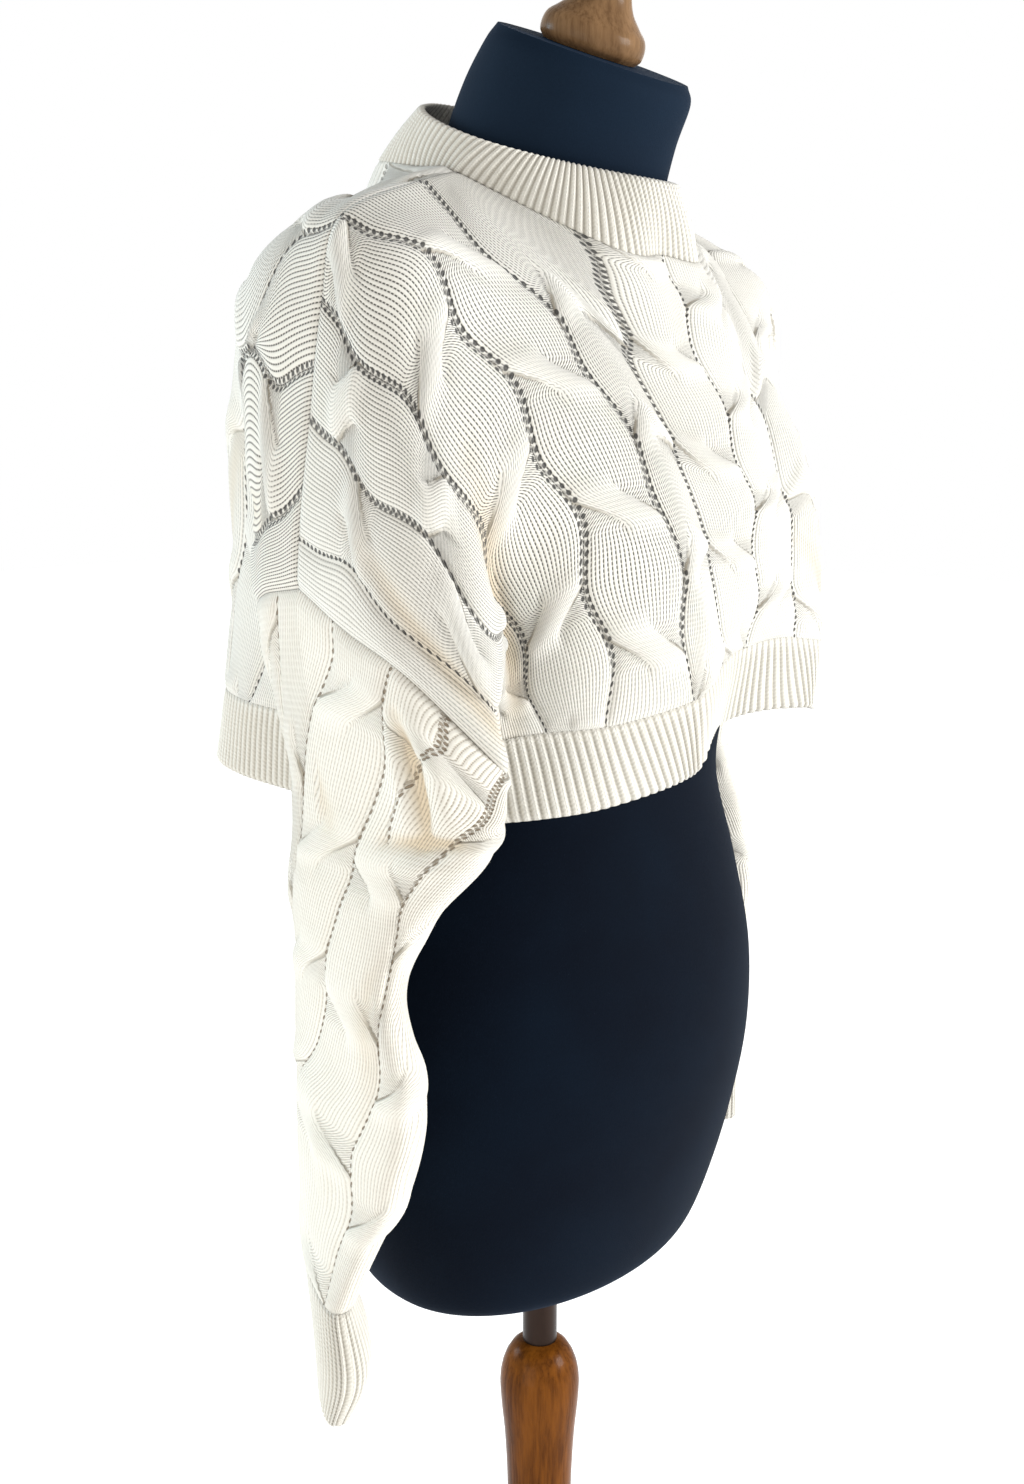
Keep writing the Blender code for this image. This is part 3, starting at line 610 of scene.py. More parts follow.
    def threads(self, row: Grid, across: Grid, column: Grid) -> Dict[str, Grid]:
        """What the yarn's finish needs at each place, as three vectors.

        Args:
            row: Row of the grid.
            across: Place across the piece.
            column: Column of cables that it is measured in.

        Returns:
            strand: stitches across in the upper and in the lower strand, and rows down.
            cable: distance to the upper strand's edge in mm, crossing, and the slit beside it,
                where shade is painted.
            lace: distance to the nearest ladder in mm, holes down it, and room for the tension.
        """
        at = self.shape(row, across, column)
        mean_widths = (np.diff(self.rails, axis=0) * self.scale).mean(axis=1)
        plain = np.maximum(np.round(mean_widths / self.stitch.wale_pitch), 2)
        crossed = np.array([cable is not None for cable in self.cables])
        fullness = np.broadcast_to(self.fullness, self.swaps.shape)[column, row]
        wales = np.where(crossed, self.stitch.wales, plain)[column] * fullness
        shift = 0.5 * wales * at["slants"] * self.swaps[column, row]
        upper = wales * at["part"] - shift
        lower = wales * at["part"] + shift
        rows = self.down[row] / self.stitch.row_pitch
        ahead = at["ahead"] * ramp(at["progress"], *self.stitch.slit_start)
        behind = ~at["ahead"] * (1.0 - ramp(at["progress"], *self.stitch.slit_end))
        ends = 1.0 - ramp(np.abs(at["crossing"] - 1.0), *self.stitch.slit_fade)
        slit = (ahead + self.stitch.slit_behind * behind) * ends
        distance, holes = self.lace(row, across, column, np.ndim(across) > 1)
        return {
            "strand": np.stack([upper, lower, rows + 0.0 * upper], axis=-1),
            "cable": np.stack([MM * at["edge"], at["crossing"], slit], axis=-1),
            "lace": np.stack([MM * distance, holes, 0.0 * holes], axis=-1),
        }


@dataclass
class RibField:
    """Ribbing: even ribs that run down a piece."""

    ribs: int  # ribs across the whole piece
    down: Grid  # rows: metres down the piece
    height: float = 0.0014
    row_pitch: float = 0.0024
    power: float = 1.2  # above 1 a rib is narrower than a round one
    sunk: float = 0.35  # share of its height that lies below the wall's own surface

    def relief(self, row: Grid, across: Grid) -> Grid:
        """How far each place stands up; across runs from 0 to 1."""
        return self.height * (np.abs(np.sin(np.pi * self.ribs * across)) ** self.power - self.sunk)

    def column_at(self, row: Grid, across: Grid) -> Grid:
        """Ribbing is one column."""
        return np.zeros(np.broadcast(row, across).shape, int)

    def threads(self, row: Grid, across: Grid, column: Grid) -> Dict[str, Grid]:
        """What the yarn's finish needs at each place, with no cables and no ladders.

        Args:
            row: Row of the grid.
            across: Place across the piece, from 0 to 1.
            column: Not used.

        Returns:
            The same three vectors as CableField.threads.
        """
        ribs = self.ribs * across + 0.0 * row
        rows = self.down[row] / self.row_pitch + 0.0 * ribs
        none = 0.0 * ribs
        return {
            "strand": np.stack([ribs, ribs, rows], axis=-1),
            "cable": np.stack([none - MM * NO_LADDER, none, none], axis=-1),
            "lace": np.stack([none + MM * NO_LADDER, none, none], axis=-1),
        }


# ---- a knitted wall
@dataclass
class KnitWall:
    """A closed wall of knitting: a patterned outer face on a plain inner one."""

    name: str
    points: Grid  # rows x columns; a tube repeats its first column at the end
    across: Grid  # columns: places across, in the field's units
    pattern: Union[CableField, RibField]
    tube: bool
    tension: Grid  # rows x columns: how far the stitches are pulled open, 0 to 1
    creases: Sequence[Crease] = ()
    crease_scale: Pair = (1.0, 1.0)
    thickness: float = WALL
    rolled: Tuple[bool, bool] = (False, False)  # whether the top and bottom edges are free
    seams: Tuple[Optional[float], ...] = (None, None, None)  # depth at the top, bottom and sides
    seam_reach: float = 0.003
    roll_reach: float = 0.003  # from a free edge, where the cloth starts to roll in
    roll_depth: float = 0.9  # how far it rolls in, as a share of its thickness
    roll_end: float = 0.98  # share of the way round at the edge itself
    crease_end: float = 0.04  # share of a crease over which its two ends stay low
    crease_power: float = 0.6  # below 1 it reaches its full height sooner
    full_trough: float = 0.0045  # depth at which a trough is in full shade

    def normals(self) -> Grid:
        """Normals that point out of the garment.

        Returns:
            Rows x columns of unit vectors.
        """
        points = self.points
        down = np.gradient(points, axis=0)
        if self.tube:
            wrapped = np.concatenate([points[:, -2:-1], points, points[:, 1:2]], axis=1)
            along = 0.5 * (wrapped[:, 2:] - wrapped[:, :-2])
        else:
            along = np.gradient(points, axis=1)
        normal = np.cross(along, down)
        normal /= np.maximum(np.linalg.norm(normal, axis=2, keepdims=True), TINY * TINY)
        middle = points.mean(axis=1, keepdims=True) if self.tube else points * (0.0, 0.0, 1.0)
        if (normal * (points - middle)).sum() < 0:
            normal = -normal
        return normal

    def looks_inwards(self, normal: Grid) -> bool:
        """Whether faces whose corners go across and then down look into the garment.

        Args:
            normal: Normals that point out of it.

        Returns:
            True if their corners have to be turned round.
        """
        down = np.diff(self.points[:, :-1], axis=0)
        along = np.diff(self.points[:-1], axis=1)
        return float((np.cross(down, along) * normal[:-1, :-1]).sum()) > 0

    def height(self) -> Grid:
        """Relief of the whole outer face: pattern, seams, rolled edges and creases.

        Returns:
            Rows x columns, in metres.
        """
        rows, columns, _ = self.points.shape
        row = np.repeat(np.arange(rows)[:, None], columns, axis=1)
        across = np.repeat(self.across[None, :], rows, axis=0)
        height = self.pattern.relief(row, across)
        down = self.pattern.down
        from_top = np.repeat((down - down[0])[:, None], columns, axis=1)
        from_bottom = np.repeat((down[-1] - down)[:, None], columns, axis=1)
        gaps = gap_lengths(self.points)
        from_left = np.concatenate([np.zeros((rows, 1)), np.cumsum(gaps, axis=1)], axis=1)
        from_side = np.minimum(from_left, from_left[:, -1:] - from_left)
        for depth, distance in zip(self.seams, (from_top, from_bottom, from_side)):
            if depth is not None:
                share = swell(distance, 0.0, self.seam_reach)
                height = height * (1.0 - share) - depth * share
        for rolled, distance in zip(self.rolled, (from_top, from_bottom)):
            if rolled:
                share = 1.0 - np.clip(distance / self.roll_reach, 0.0, 1.0)
                fall = 1.0 - np.sqrt(1.0 - self.roll_end * share**2)
                height = height - self.roll_depth * self.thickness * fall
        for crease in self.creases:
            height = height + self.crease_height(crease, across, down[:, None])
        return height

    def trough_shading(self) -> Grid:
        """How deep each place lies in a trough, which sets the painted shade there.

        Returns:
            Rows x columns, from 0 to 1.
        """
        down = self.pattern.down[:, None]
        troughs = [crease for crease in self.creases if crease.height < 0]
        depth = sum(-self.crease_height(crease, self.across[None, :], down) for crease in troughs)
        return np.clip((depth + np.zeros(self.points.shape[:2])) / self.full_trough, 0.0, 1.0)

    def crease_height(self, crease: Crease, across: Grid, down: Grid) -> Grid:
        """Height that one crease adds.

        Args:
            crease: The crease.
            across: Places across, in the field's units.
            down: Places down, in metres.

        Returns:
            Metres, at each place.
        """
        wide, long = self.crease_scale
        start = np.array(crease.start) * (wide, long)
        way = np.array(crease.end) * (wide, long) - start
        px = across * wide - start[0]
        py = down - start[1]
        share = np.clip((px * way[0] + py * way[1]) / (way @ way), 0.0, 1.0)
        distance = np.hypot(px - share * way[0], py - share * way[1])
        inside = np.clip(share, self.crease_end, 1.0 - self.crease_end)
        fade = np.sin(np.pi * inside) ** self.crease_power
        return crease.height * fade * swell(distance, 0.0, crease.width)

    def mesh(self) -> bpy.types.Mesh:
        """Build the closed wall, with the pattern's vectors at every corner of its faces.

        Returns:
            The new mesh.
        """
        normal = self.normals()
        outer = self.points + normal * self.height()[..., None]
        inner = self.points - normal * self.thickness
        rows, columns, _ = self.points.shape
        count = columns - 1 if self.tube else columns
        row, column = np.mgrid[0:rows - 1, 0:columns - 1]
        row, column = row.ravel(), column.ravel()
        corner_rows = np.stack([row, row, row + 1, row + 1], axis=1)
        corner_columns = np.stack([column, column + 1, column + 1, column], axis=1)
        if self.looks_inwards(normal):
            corner_rows, corner_columns = corner_rows[:, ::-1], corner_columns[:, ::-1]
        sides = corner_rows * count + corner_columns % count
        middle = 0.5 * (self.across[column] + self.across[column + 1])
        strip = self.pattern.column_at(row, middle)
        faces = [sides, sides[:, ::-1] + rows * count]
        threads = self.pattern.threads(corner_rows, self.across[corner_columns], strip[:, None])
        threads["lace"][..., 2] = self.tension[corner_rows, corner_columns]
        # The depth of the troughs, for their painted shade, goes into the fold vector.
        shade = self.trough_shading()[..., None] * (1.0, 0.0, 0.0)
        threads["fold"] = shade[corner_rows, corner_columns]
        vectors = {name: [value, value[:, ::-1]] for name, value in threads.items()}
        for line_rows, line_columns in self.borders(rows, columns):
            first = line_rows * count + line_columns % count
            faces.append(np.stack([first[:-1], first[1:], first[1:] + rows * count,
                                   first[:-1] + rows * count], axis=1))
            strip = self.pattern.column_at(line_rows, self.across[line_columns])
            edge = self.pattern.threads(line_rows, self.across[line_columns], strip)
            edge["fold"] = shade[line_rows, line_columns]
            for name, value in edge.items():
                vectors[name].append(np.stack([value[:-1], value[1:], value[1:], value[:-1]], 1))
        mesh = bpy.data.meshes.new(self.name)
        corners = [outer[:, :count].reshape(-1, 3), inner[:, :count].reshape(-1, 3)]
        mesh.from_pydata(np.concatenate(corners).tolist(), [], np.concatenate(faces).tolist())
        for name, parts in vectors.items():
            layer = mesh.attributes.new(name, "FLOAT_VECTOR", "CORNER")
            layer.data.foreach_set("vector", np.concatenate(parts).astype(np.float32).ravel())
        mesh.shade_smooth()
        return mesh

    def borders(self, rows: int, columns: int) -> List[Tuple[Grid, Grid]]:
        """The borders of the grid, in order round it.

        Args:
            rows: Rows of the grid.
            columns: Columns of the grid.

        Returns:
            Rows and columns of the points along each border.
        """
        along = np.arange(columns)
        down = np.arange(rows)
        lines = [(0 * along, along), (0 * along + rows - 1, along[::-1])]
        if not self.tube:
            lines += [(down[::-1], 0 * down), (down, 0 * down + columns - 1)]
        if self.looks_inwards(self.normals()):
            return lines
        return [(rows_of[::-1], columns_of[::-1]) for rows_of, columns_of in lines]


# ---- the sweater
# The cables of each panel, from the wearer's right armhole to the left one: the courses down to
# the first crossing, the courses between crossings, and the slant of the upper strand.
FRONT_CABLES = (
    (1.10, 1.50, Slant.TO_RIGHT), (0.68, 1.56, Slant.TO_LEFT), (0.25, 1.48, Slant.TO_RIGHT),
    (1.17, 1.38, Slant.TO_LEFT), (1.75, 1.39, Slant.TO_RIGHT), (0.05, 1.47, Slant.TO_LEFT),
    (0.65, 1.54, Slant.TO_RIGHT), (1.10, 1.50, Slant.TO_LEFT), (0.48, 1.46, Slant.TO_RIGHT),
    (0.05, 1.50, Slant.TO_LEFT), (0.70, 1.50, Slant.TO_RIGHT), (1.15, 1.48, Slant.TO_LEFT),
)
BACK_CABLES = (
    (0.80, 1.50, Slant.TO_LEFT), (1.45, 1.55, Slant.TO_RIGHT), (0.70, 1.45, Slant.TO_LEFT),
    (0.15, 1.48, Slant.TO_RIGHT), (1.05, 1.50, Slant.TO_LEFT), (0.50, 1.46, Slant.TO_RIGHT),
    (1.30, 1.50, Slant.TO_LEFT), (0.75, 1.48, Slant.TO_RIGHT), (1.40, 1.52, Slant.TO_LEFT),
    (0.70, 1.46, Slant.TO_RIGHT),
)
# Ladders of the back, from the middle out: u at each of these courses, mirrored to u < 0.
BACK_LADDER_COURSES = (0.0, 0.75, 1.10, 1.50, 3.00, 6.00)
BACK_LADDERS = (
    (0.000, 0.000, 0.000, 0.000, 0.000, 0.000),
    (0.059, 0.060, 0.062, 0.062, 0.063, 0.061),
    (0.118, 0.122, 0.130, 0.138, 0.135, 0.124),
    (0.183, 0.200, 0.222, 0.240, 0.214, 0.190),
    (0.270, 0.272, 0.264, 0.256, 0.268, 0.254),
    (0.330, 0.350, 0.352, 0.345, 0.328, 0.318),
)
# Ladders down a sleeve: (metres down, share of the way round from the shoulder line, forwards).
# They drift backwards as they go down, and those behind run out into the underarm seam.
SLEEVE_RAILS = (
    ("outer", True, (
        (0.000, 0.090), (0.016, 0.080), (0.031, 0.045), (0.054, -0.020), (0.089, -0.065),
        (0.120, -0.080), (0.160, -0.110), (0.200, -0.150), (0.250, -0.290), (0.300, -0.370),
        (0.360, -0.420))),
    ("upper", True, (
        (0.000, 0.223), (0.023, 0.188), (0.055, 0.155), (0.076, 0.120), (0.100, 0.092),
        (0.122, 0.108), (0.146, 0.112), (0.170, 0.100), (0.192, 0.100), (0.208, 0.068),
        (0.236, -0.010), (0.251, -0.075), (0.282, -0.110), (0.360, -0.130))),
    ("front", True, (
        (0.000, 0.363), (0.026, 0.351), (0.067, 0.326), (0.089, 0.275), (0.108, 0.245),
        (0.123, 0.255), (0.145, 0.310), (0.162, 0.345), (0.183, 0.340), (0.193, 0.306),
        (0.223, 0.246), (0.253, 0.193), (0.268, 0.174), (0.284, 0.193), (0.300, 0.224),
        (0.326, 0.226), (0.360, 0.243))),
    ("underarm", False, ((0.000, 0.500), (0.360, 0.500))),
    ("inner", True, ((0.000, 0.645), (0.050, 0.580), (0.100, 0.506), (0.360, 0.503))),
    ("rear", True, (
        (0.000, 0.790), (0.080, 0.690), (0.150, 0.580), (0.200, 0.512), (0.360, 0.507))),
    ("back", True, (
        (0.000, 0.935), (0.060, 0.880), (0.160, 0.770), (0.230, 0.640), (0.290, 0.520),
        (0.360, 0.512))),
)
# Cables between those ladders: metres to the first crossing, between crossings, and the slant.
SLEEVE_CABLES = (
    (0.032, 0.072, Slant.TO_RIGHT), (0.038, 0.0775, Slant.TO_LEFT),
    (0.000, 0.075, Slant.TO_RIGHT), None, (0.050, 0.075, Slant.TO_LEFT),
    (0.020, 0.075, Slant.TO_RIGHT), (0.066, 0.0745, Slant.TO_LEFT),
)
# A ladder that ends where the sleeve's front folds in.
FRONT_SHORT_LADDER = ((0.000, 0.293), (0.030, 0.276), (0.053, 0.218), (0.081, 0.158),
                      (0.094, 0.150))

# Creases of a sleeve, as (share round, metres down).
SLEEVE_CREASES = (
    Crease((0.214, 0.026), (0.226, 0.090), 0.0045, -0.0065),
    Crease((0.186, 0.026), (0.188, 0.086), 0.006, 0.003),
    Crease((0.262, 0.032), (0.275, 0.080), 0.008, 0.0035),
    Crease((0.150, 0.092), (0.330, 0.082), 0.0042, -0.005),
    Crease((0.165, 0.104), (0.300, 0.101), 0.006, 0.003),
    Crease((-0.040, 0.060), (0.050, 0.100), 0.007, -0.002),
    Crease((0.300, 0.160), (0.200, 0.240), 0.008, -0.0015),
    Crease((0.000, 0.240), (0.150, 0.310), 0.008, 0.002),
    Crease((0.620, 0.040), (0.560, 0.120), 0.008, -0.004),
    Crease((0.860, 0.060), (0.780, 0.140), 0.008, -0.0035),
    Crease((0.700, 0.180), (0.640, 0.250), 0.007, -0.0025),
)
# Creases of the panels, as (u, courses down).
FRONT_CREASES = (
    Crease((-0.330, 1.30), (-0.372, 3.60), 0.009, -0.003),
    Crease((-0.222, 2.60), (-0.262, 5.90), 0.012, -0.0045),
    Crease((-0.120, 4.60), (-0.060, 5.80), 0.009, 0.002),
    Crease((0.250, 3.20), (0.215, 5.60), 0.010, -0.003),
    Crease((0.060, 4.40), (0.110, 5.80), 0.009, -0.0018),
)
BACK_CREASES = (
    Crease((-0.340, 1.00), (-0.290, 3.60), 0.010, -0.003),
    Crease((0.330, 1.20), (0.285, 3.80), 0.010, -0.003),
    Crease((-0.200, 3.20), (-0.150, 5.60), 0.012, -0.0022),
    Crease((0.180, 3.40), (0.150, 5.70), 0.012, -0.0022),
    Crease((0.020, 0.40), (-0.050, 2.20), 0.012, 0.0015),
)


def cables_of(table: Sequence, unit: float) -> List[Optional[Cable]]:
    """Cables from the rows of a table, with their lengths turned into metres."""
    return [Cable(row[0] * unit, row[1] * unit, row[2]) if row else None for row in table]


@dataclass
class Sweater:
    """The garment: front, back, their hem ribs, mock neck, sleeves and cuffs."""

    cell: float = 0.0024  # one cell of the panels' grids
    stitch: CableStitch = CableStitch()
    sleeve_stitch: CableStitch = CableStitch(dome=0.0016, rise=0.0021, dip=0.0008,
                                             ladder_depth=0.0011)
    seam_depth: float = 0.0012  # how far the cloth is drawn in at a sewn edge
    neck_fullness: float = 0.9  # more stitches across beside the neck point, as a share
    neck_fullness_end: float = 1.2  # courses down where they are gone
    pull_start: float = 0.035  # m down from the shoulder before crossings pull in full

    front_tension: float = 0.22  # how far the front's stitches are open, away from this place:
    front_open: float = 0.75
    front_open_u: float = -0.175
    front_open_reach: float = 0.115
    front_open_ends: Pair = (4.2, 6.0)  # courses down
    back_tension: float = 0.30
    back_open: float = 0.55  # more over the shoulders, from one u to another
    back_open_from: Pair = (0.12, 0.20)
    back_shut: float = 0.20  # and less beside the neck
    back_shut_u: float = 0.08
    back_shut_reach: float = 0.05
    back_ends: Pair = (0.6, 3.2)  # courses down
    sleeve_tension: float = 0.2
    sleeve_open: float = 0.30  # more in front, under the shoulder
    sleeve_open_at: Pair = (0.33, 0.05)  # share round, metres down
    sleeve_open_reach: Pair = (0.11, 0.06)
    sleeve_top_open: float = 0.15  # and a little more all round the upper sleeve
    sleeve_top_at: Pair = (0.10, 0.12)  # metres down, reach

    rib_pitch: float = 0.005
    rib_steps: int = 6  # cells across one rib
    rib_wall: float = 0.0024  # thickness of the ribbing
    rib_seam: float = 0.0003  # how far the cloth stands up where ribbing is joined on
    rib_reach: float = 0.0045  # how far the ribs take to grow to their height
    hem_rows: int = 19
    hem_length: float = 0.046
    hem_side: float = 0.0006  # depth of the ribbing's side seam
    hem_lean: float = 0.018  # how far the front hem's ribs lean to the wearer's left
    hem_tension: float = 0.3
    collar_rows: int = 21
    collar_length: float = 0.042
    collar_ribs: int = 112
    collar_rib_height: float = 0.0015
    collar_bulge: float = 0.002  # how far its middle stands out
    collar_twist: float = 0.045  # share round that its ribs lean forwards, on the right shoulder
    collar_twist_at: Pair = (0.77, 0.11)  # share round, and its reach
    collar_tension: float = 0.35
    sleeve_columns: int = 140
    sleeve_rows: int = 150
    sleeve_crease_girth: float = 0.30  # the girth that the creases' widths are right for
    cuff_rows: int = 27
    cuff_ribs: int = 38
    cuff_rib_height: float = 0.0012
    cuff_seam: float = 0.0003  # depth of the cuff's edge under the sleeve's
    cuff_seam_reach: float = 0.0022
    cuff_draw: float = 0.0004  # how far the sleeve is drawn in there
    cuff_tension: float = 0.2

    def panel_rails(self, ladders: Grid, cables: Sequence[Optional[Cable]], down: Grid) -> Grid:
        """Ladders of a panel, each pulled towards the crossings beside it.

        Args:
            ladders: Ladders x rows, in u, as they would run without crossings.
            cables: Columns of cables between the armholes, with a plain margin at either end.
            down: Metres down the panel, row by row.

        Returns:
            Ladders x rows, in u.
        """
        pulls = np.zeros((len(cables), len(down)))
        for index, cable in enumerate(cables):
            if cable:
                pulls[index] = swell(cable.nearest(down)[1], 0.0, self.stitch.pull_reach)
        pulls *= self.stitch.pull * ramp(down, 0.0, self.pull_start)
        edge = np.full((1, len(down)), STATION_U[-1])
        rails = np.clip(ladders + pulls[1:] - pulls[:-1], -edge, edge)
        return np.maximum.accumulate(np.concatenate([-edge, rails, edge]), axis=0)

    def panel_grid(self) -> Tuple[Grid, Grid]:
        """The grid of a panel.

        Returns:
            Its columns, in u, and its rows, in courses.
        """
        half = STATION_U[-1]
        across = np.linspace(-half, half, round(2.0 * half / self.cell) + 1)
        down = np.linspace(0, RIB_COURSE, round(RIB_COURSE * COURSE / self.cell) + 1)
        return across, down

    def panel(self, name: str, courses: Tuple, ladders: Grid, table: Sequence,
              creases: Sequence[Crease], tension: Grid) -> KnitWall:
        """The front or the back.

        Args:
            name: Name of the new piece.
            courses: Its table of courses.
            ladders: Its ladders x rows, in u.
            table: Its cables.
            creases: Its creases, in u and courses.
            tension: How far its stitches are pulled open.

        Returns:
            The wall of knitting.
        """
        across, rows = self.panel_grid()
        down = rows * COURSE
        cables = [None] + cables_of(table, COURSE) + [None]
        rails = self.panel_rails(ladders, cables, down)
        beside_neck = (rails[:-1, :1] < -NECK_HALF) & (rails[1:, :1] > -NECK_HALF)
        beside_neck = beside_neck | beside_neck[::-1]
        more = self.neck_fullness * beside_neck * (1.0 - ramp(rows, 0.0, self.neck_fullness_end))
        pattern = CableField(rails, [False] + [True] * (len(rails) - 2) + [False], down,
                             np.ones(len(down)), cables, self.stitch, fullness=1.0 + more)
        return KnitWall(name, panel_points(courses, across, rows), across, pattern,
                        False, tension, creases, (1.0, COURSE),
                        seams=(0.0, -self.rib_seam, self.seam_depth))

    def front(self) -> KnitWall:
        """The front, pulled open most over the wearer's right shoulder and chest.

        Returns:
            The wall of knitting.
        """
        across, down = self.panel_grid()
        count = len(FRONT_CABLES) + 1
        ladders = (np.arange(count) - (count - 1) / 2) * LADDER_PITCH
        ladders = np.repeat(ladders[:, None], len(down), axis=1)
        place = swell(across[None, :], self.front_open_u, self.front_open_reach)
        above = 1.0 - ramp(down[:, None], *self.front_open_ends)
        return self.panel("knit_front", FRONT_COURSES, ladders, FRONT_CABLES, FRONT_CREASES,
                          self.front_tension + self.front_open * place * above)

    def back(self) -> KnitWall:
        """The back, pulled open most over the shoulders.

        Returns:
            The wall of knitting.
        """
        across, down = self.panel_grid()
        half = np.array([spline(BACK_LADDER_COURSES, row, down) for row in BACK_LADDERS])
        ladders = np.concatenate([-half[:0:-1], half])
        aside = np.abs(across)[None, :]
        more = (self.back_open * ramp(aside, *self.back_open_from)
                - self.back_shut * swell(aside, self.back_shut_u, self.back_shut_reach))
        above = 1.0 - ramp(down[:, None], *self.back_ends)
        return self.panel("knit_back", BACK_COURSES, ladders, BACK_CABLES, BACK_CREASES,
                          self.back_tension + above * more)

    def hem(self, name: str, courses: Tuple, lean: float) -> KnitWall:
        """The ribbing along the lower edge of a panel.

        Args:
            name: Name of the new piece.
            courses: The panel's table of courses.
            lean: How far its ribs lean at the hem, in u.

        Returns:
            The wall of ribbing.
        """
        rows = np.linspace(RIB_COURSE, HEM_COURSE, self.hem_rows)
        across = np.linspace(-STATION_U[-1], STATION_U[-1], LINE_POINTS)
        run = run_along(panel_points(courses, across, [RIB_COURSE + 0.5])[0])
        ribs = round(run[-1] / self.rib_pitch)
        shares = np.linspace(0.0, 1.0, ribs * self.rib_steps + 1)
        even = np.interp(shares, run / run[-1], across)
        leans = lean * (1.0 - (2.0 * shares - 1.0) ** 4)
        points = np.array([panel_points(courses, even + leans * (row - RIB_COURSE), [row])[0]
                           for row in rows])
        pattern = RibField(ribs, (rows - RIB_COURSE) * self.hem_length)
        return self.ribbing(name, points, shares, pattern, self.hem_tension, tube=False,
                            rolled=(False, True), seams=(-self.rib_seam, None, self.hem_side),
                            seam_reach=self.rib_reach)

    def ribbing(self, name: str, points: Grid, shares: Grid, pattern: RibField, tension: float,
                tube: bool = True, **edges: object) -> KnitWall:
        """A wall of ribbing, as thick as all of the sweater's ribbing.

        Args:
            name: Name of the new piece.
            points: Its rows x columns.
            shares: Its columns, from 0 to 1.
            pattern: Its ribs.
            tension: How far its stitches are pulled open.
            tube: Whether it is knitted in the round.
            edges: How its edges are rolled or sewn, as for any KnitWall.

        Returns:
            The wall of ribbing.
        """
        return KnitWall(name, points, shares, pattern, tube, np.full(points.shape[:2], tension),
                        thickness=self.rib_wall, **edges)

    def neckline(self) -> Grid:
        """The neckline of front and back.

        Returns:
            The points of one closed line, from the middle of the front.
        """
        across = np.linspace(-NECK_HALF, NECK_HALF, LINE_POINTS)
        front = panel_points(FRONT_COURSES, across, [0.0])[0]
        back = panel_points(BACK_COURSES, across, [0.0])[0]
        half = LINE_POINTS // 2
        return np.concatenate([front[half:], back[::-1], front[:half + 1]])

    def collar_top(self) -> Grid:
        """The free edge of the mock neck.

        Returns:
            The points of one closed line, from the middle of the front.
        """
        turns = np.linspace(0.0, FULL_TURN, LINE_POINTS) - 0.5 * math.pi
        y = COLLAR_TOP["y"] + COLLAR_TOP["half_depth"] * np.sin(turns)
        z = COLLAR_TOP["z"] + COLLAR_TOP["slope"] * y + COLLAR_TOP["curl"] * y**2
        return np.stack([COLLAR_TOP["half_width"] * np.cos(turns), y, z], axis=-1)

    def collar(self) -> KnitWall:
        """The mock neck, from the neckline up to its free edge.

        Returns:
            The wall of ribbing.
        """
        shares = np.linspace(0.0, 1.0, self.collar_ribs * self.rib_steps + 1)
        neckline = even_steps(self.neckline(), shares)
        heading = np.arctan2(neckline[:, 1] - COLLAR_TOP["y"], neckline[:, 0])
        outwards = np.stack([np.cos(heading), np.sin(heading), 0.0 * heading], axis=-1)
        twist = self.collar_twist * swell(shares, *self.collar_twist_at)
        top = even_steps(self.collar_top(), np.minimum(shares + twist, 1.0))
        places = np.linspace(0.0, 1.0, self.collar_rows)[:, None, None]
        bulge = self.collar_bulge * np.sin(math.pi * places)
        points = neckline * (1 - places) + top * places + bulge * outwards
        down = np.linspace(0.0, self.collar_length, self.collar_rows)
        pattern = RibField(self.collar_ribs, down, self.collar_rib_height)
        return self.ribbing("knit_collar", points[::-1], shares, pattern, self.collar_tension,
                            rolled=(True, False))

    def sleeve_grid(self, side: Side) -> Tuple[Grid, Grid, Grid]:
        """The grid of a sleeve.

        Args:
            side: The wearer's side.

        Returns:
            Its columns, as shares round; its rows, in metres down; and its points.
        """
        shares = np.linspace(0.0, 1.0, self.sleeve_columns + 1)
        loop = armhole_loop(side, shares)
        sections = LEFT_SLEEVE if side is Side.LEFT else RIGHT_SLEEVE
        rings = np.array([loop] + [oval(section, shares, side) for section in sections])
        knots = down_lengths(rings)
        down = np.linspace(0.0, knots[-1], self.sleeve_rows + 1)
        return shares, down, spline(knots, rings, down)

    def sleeve_tensions(self, shares: Grid, down: Grid) -> Grid:
        """How far a sleeve's stitches are pulled open.

        Args:
            shares: Its columns, as shares round.
            down: Its rows, in metres down.

        Returns:
            Rows x columns, from 0 to 1.
        """
        place = (swell(shares[None, :], self.sleeve_open_at[0], self.sleeve_open_reach[0])
                 * swell(down[:, None], self.sleeve_open_at[1], self.sleeve_open_reach[1]))
        return (self.sleeve_tension + self.sleeve_open * place
                + self.sleeve_top_open * swell(down[:, None], *self.sleeve_top_at))

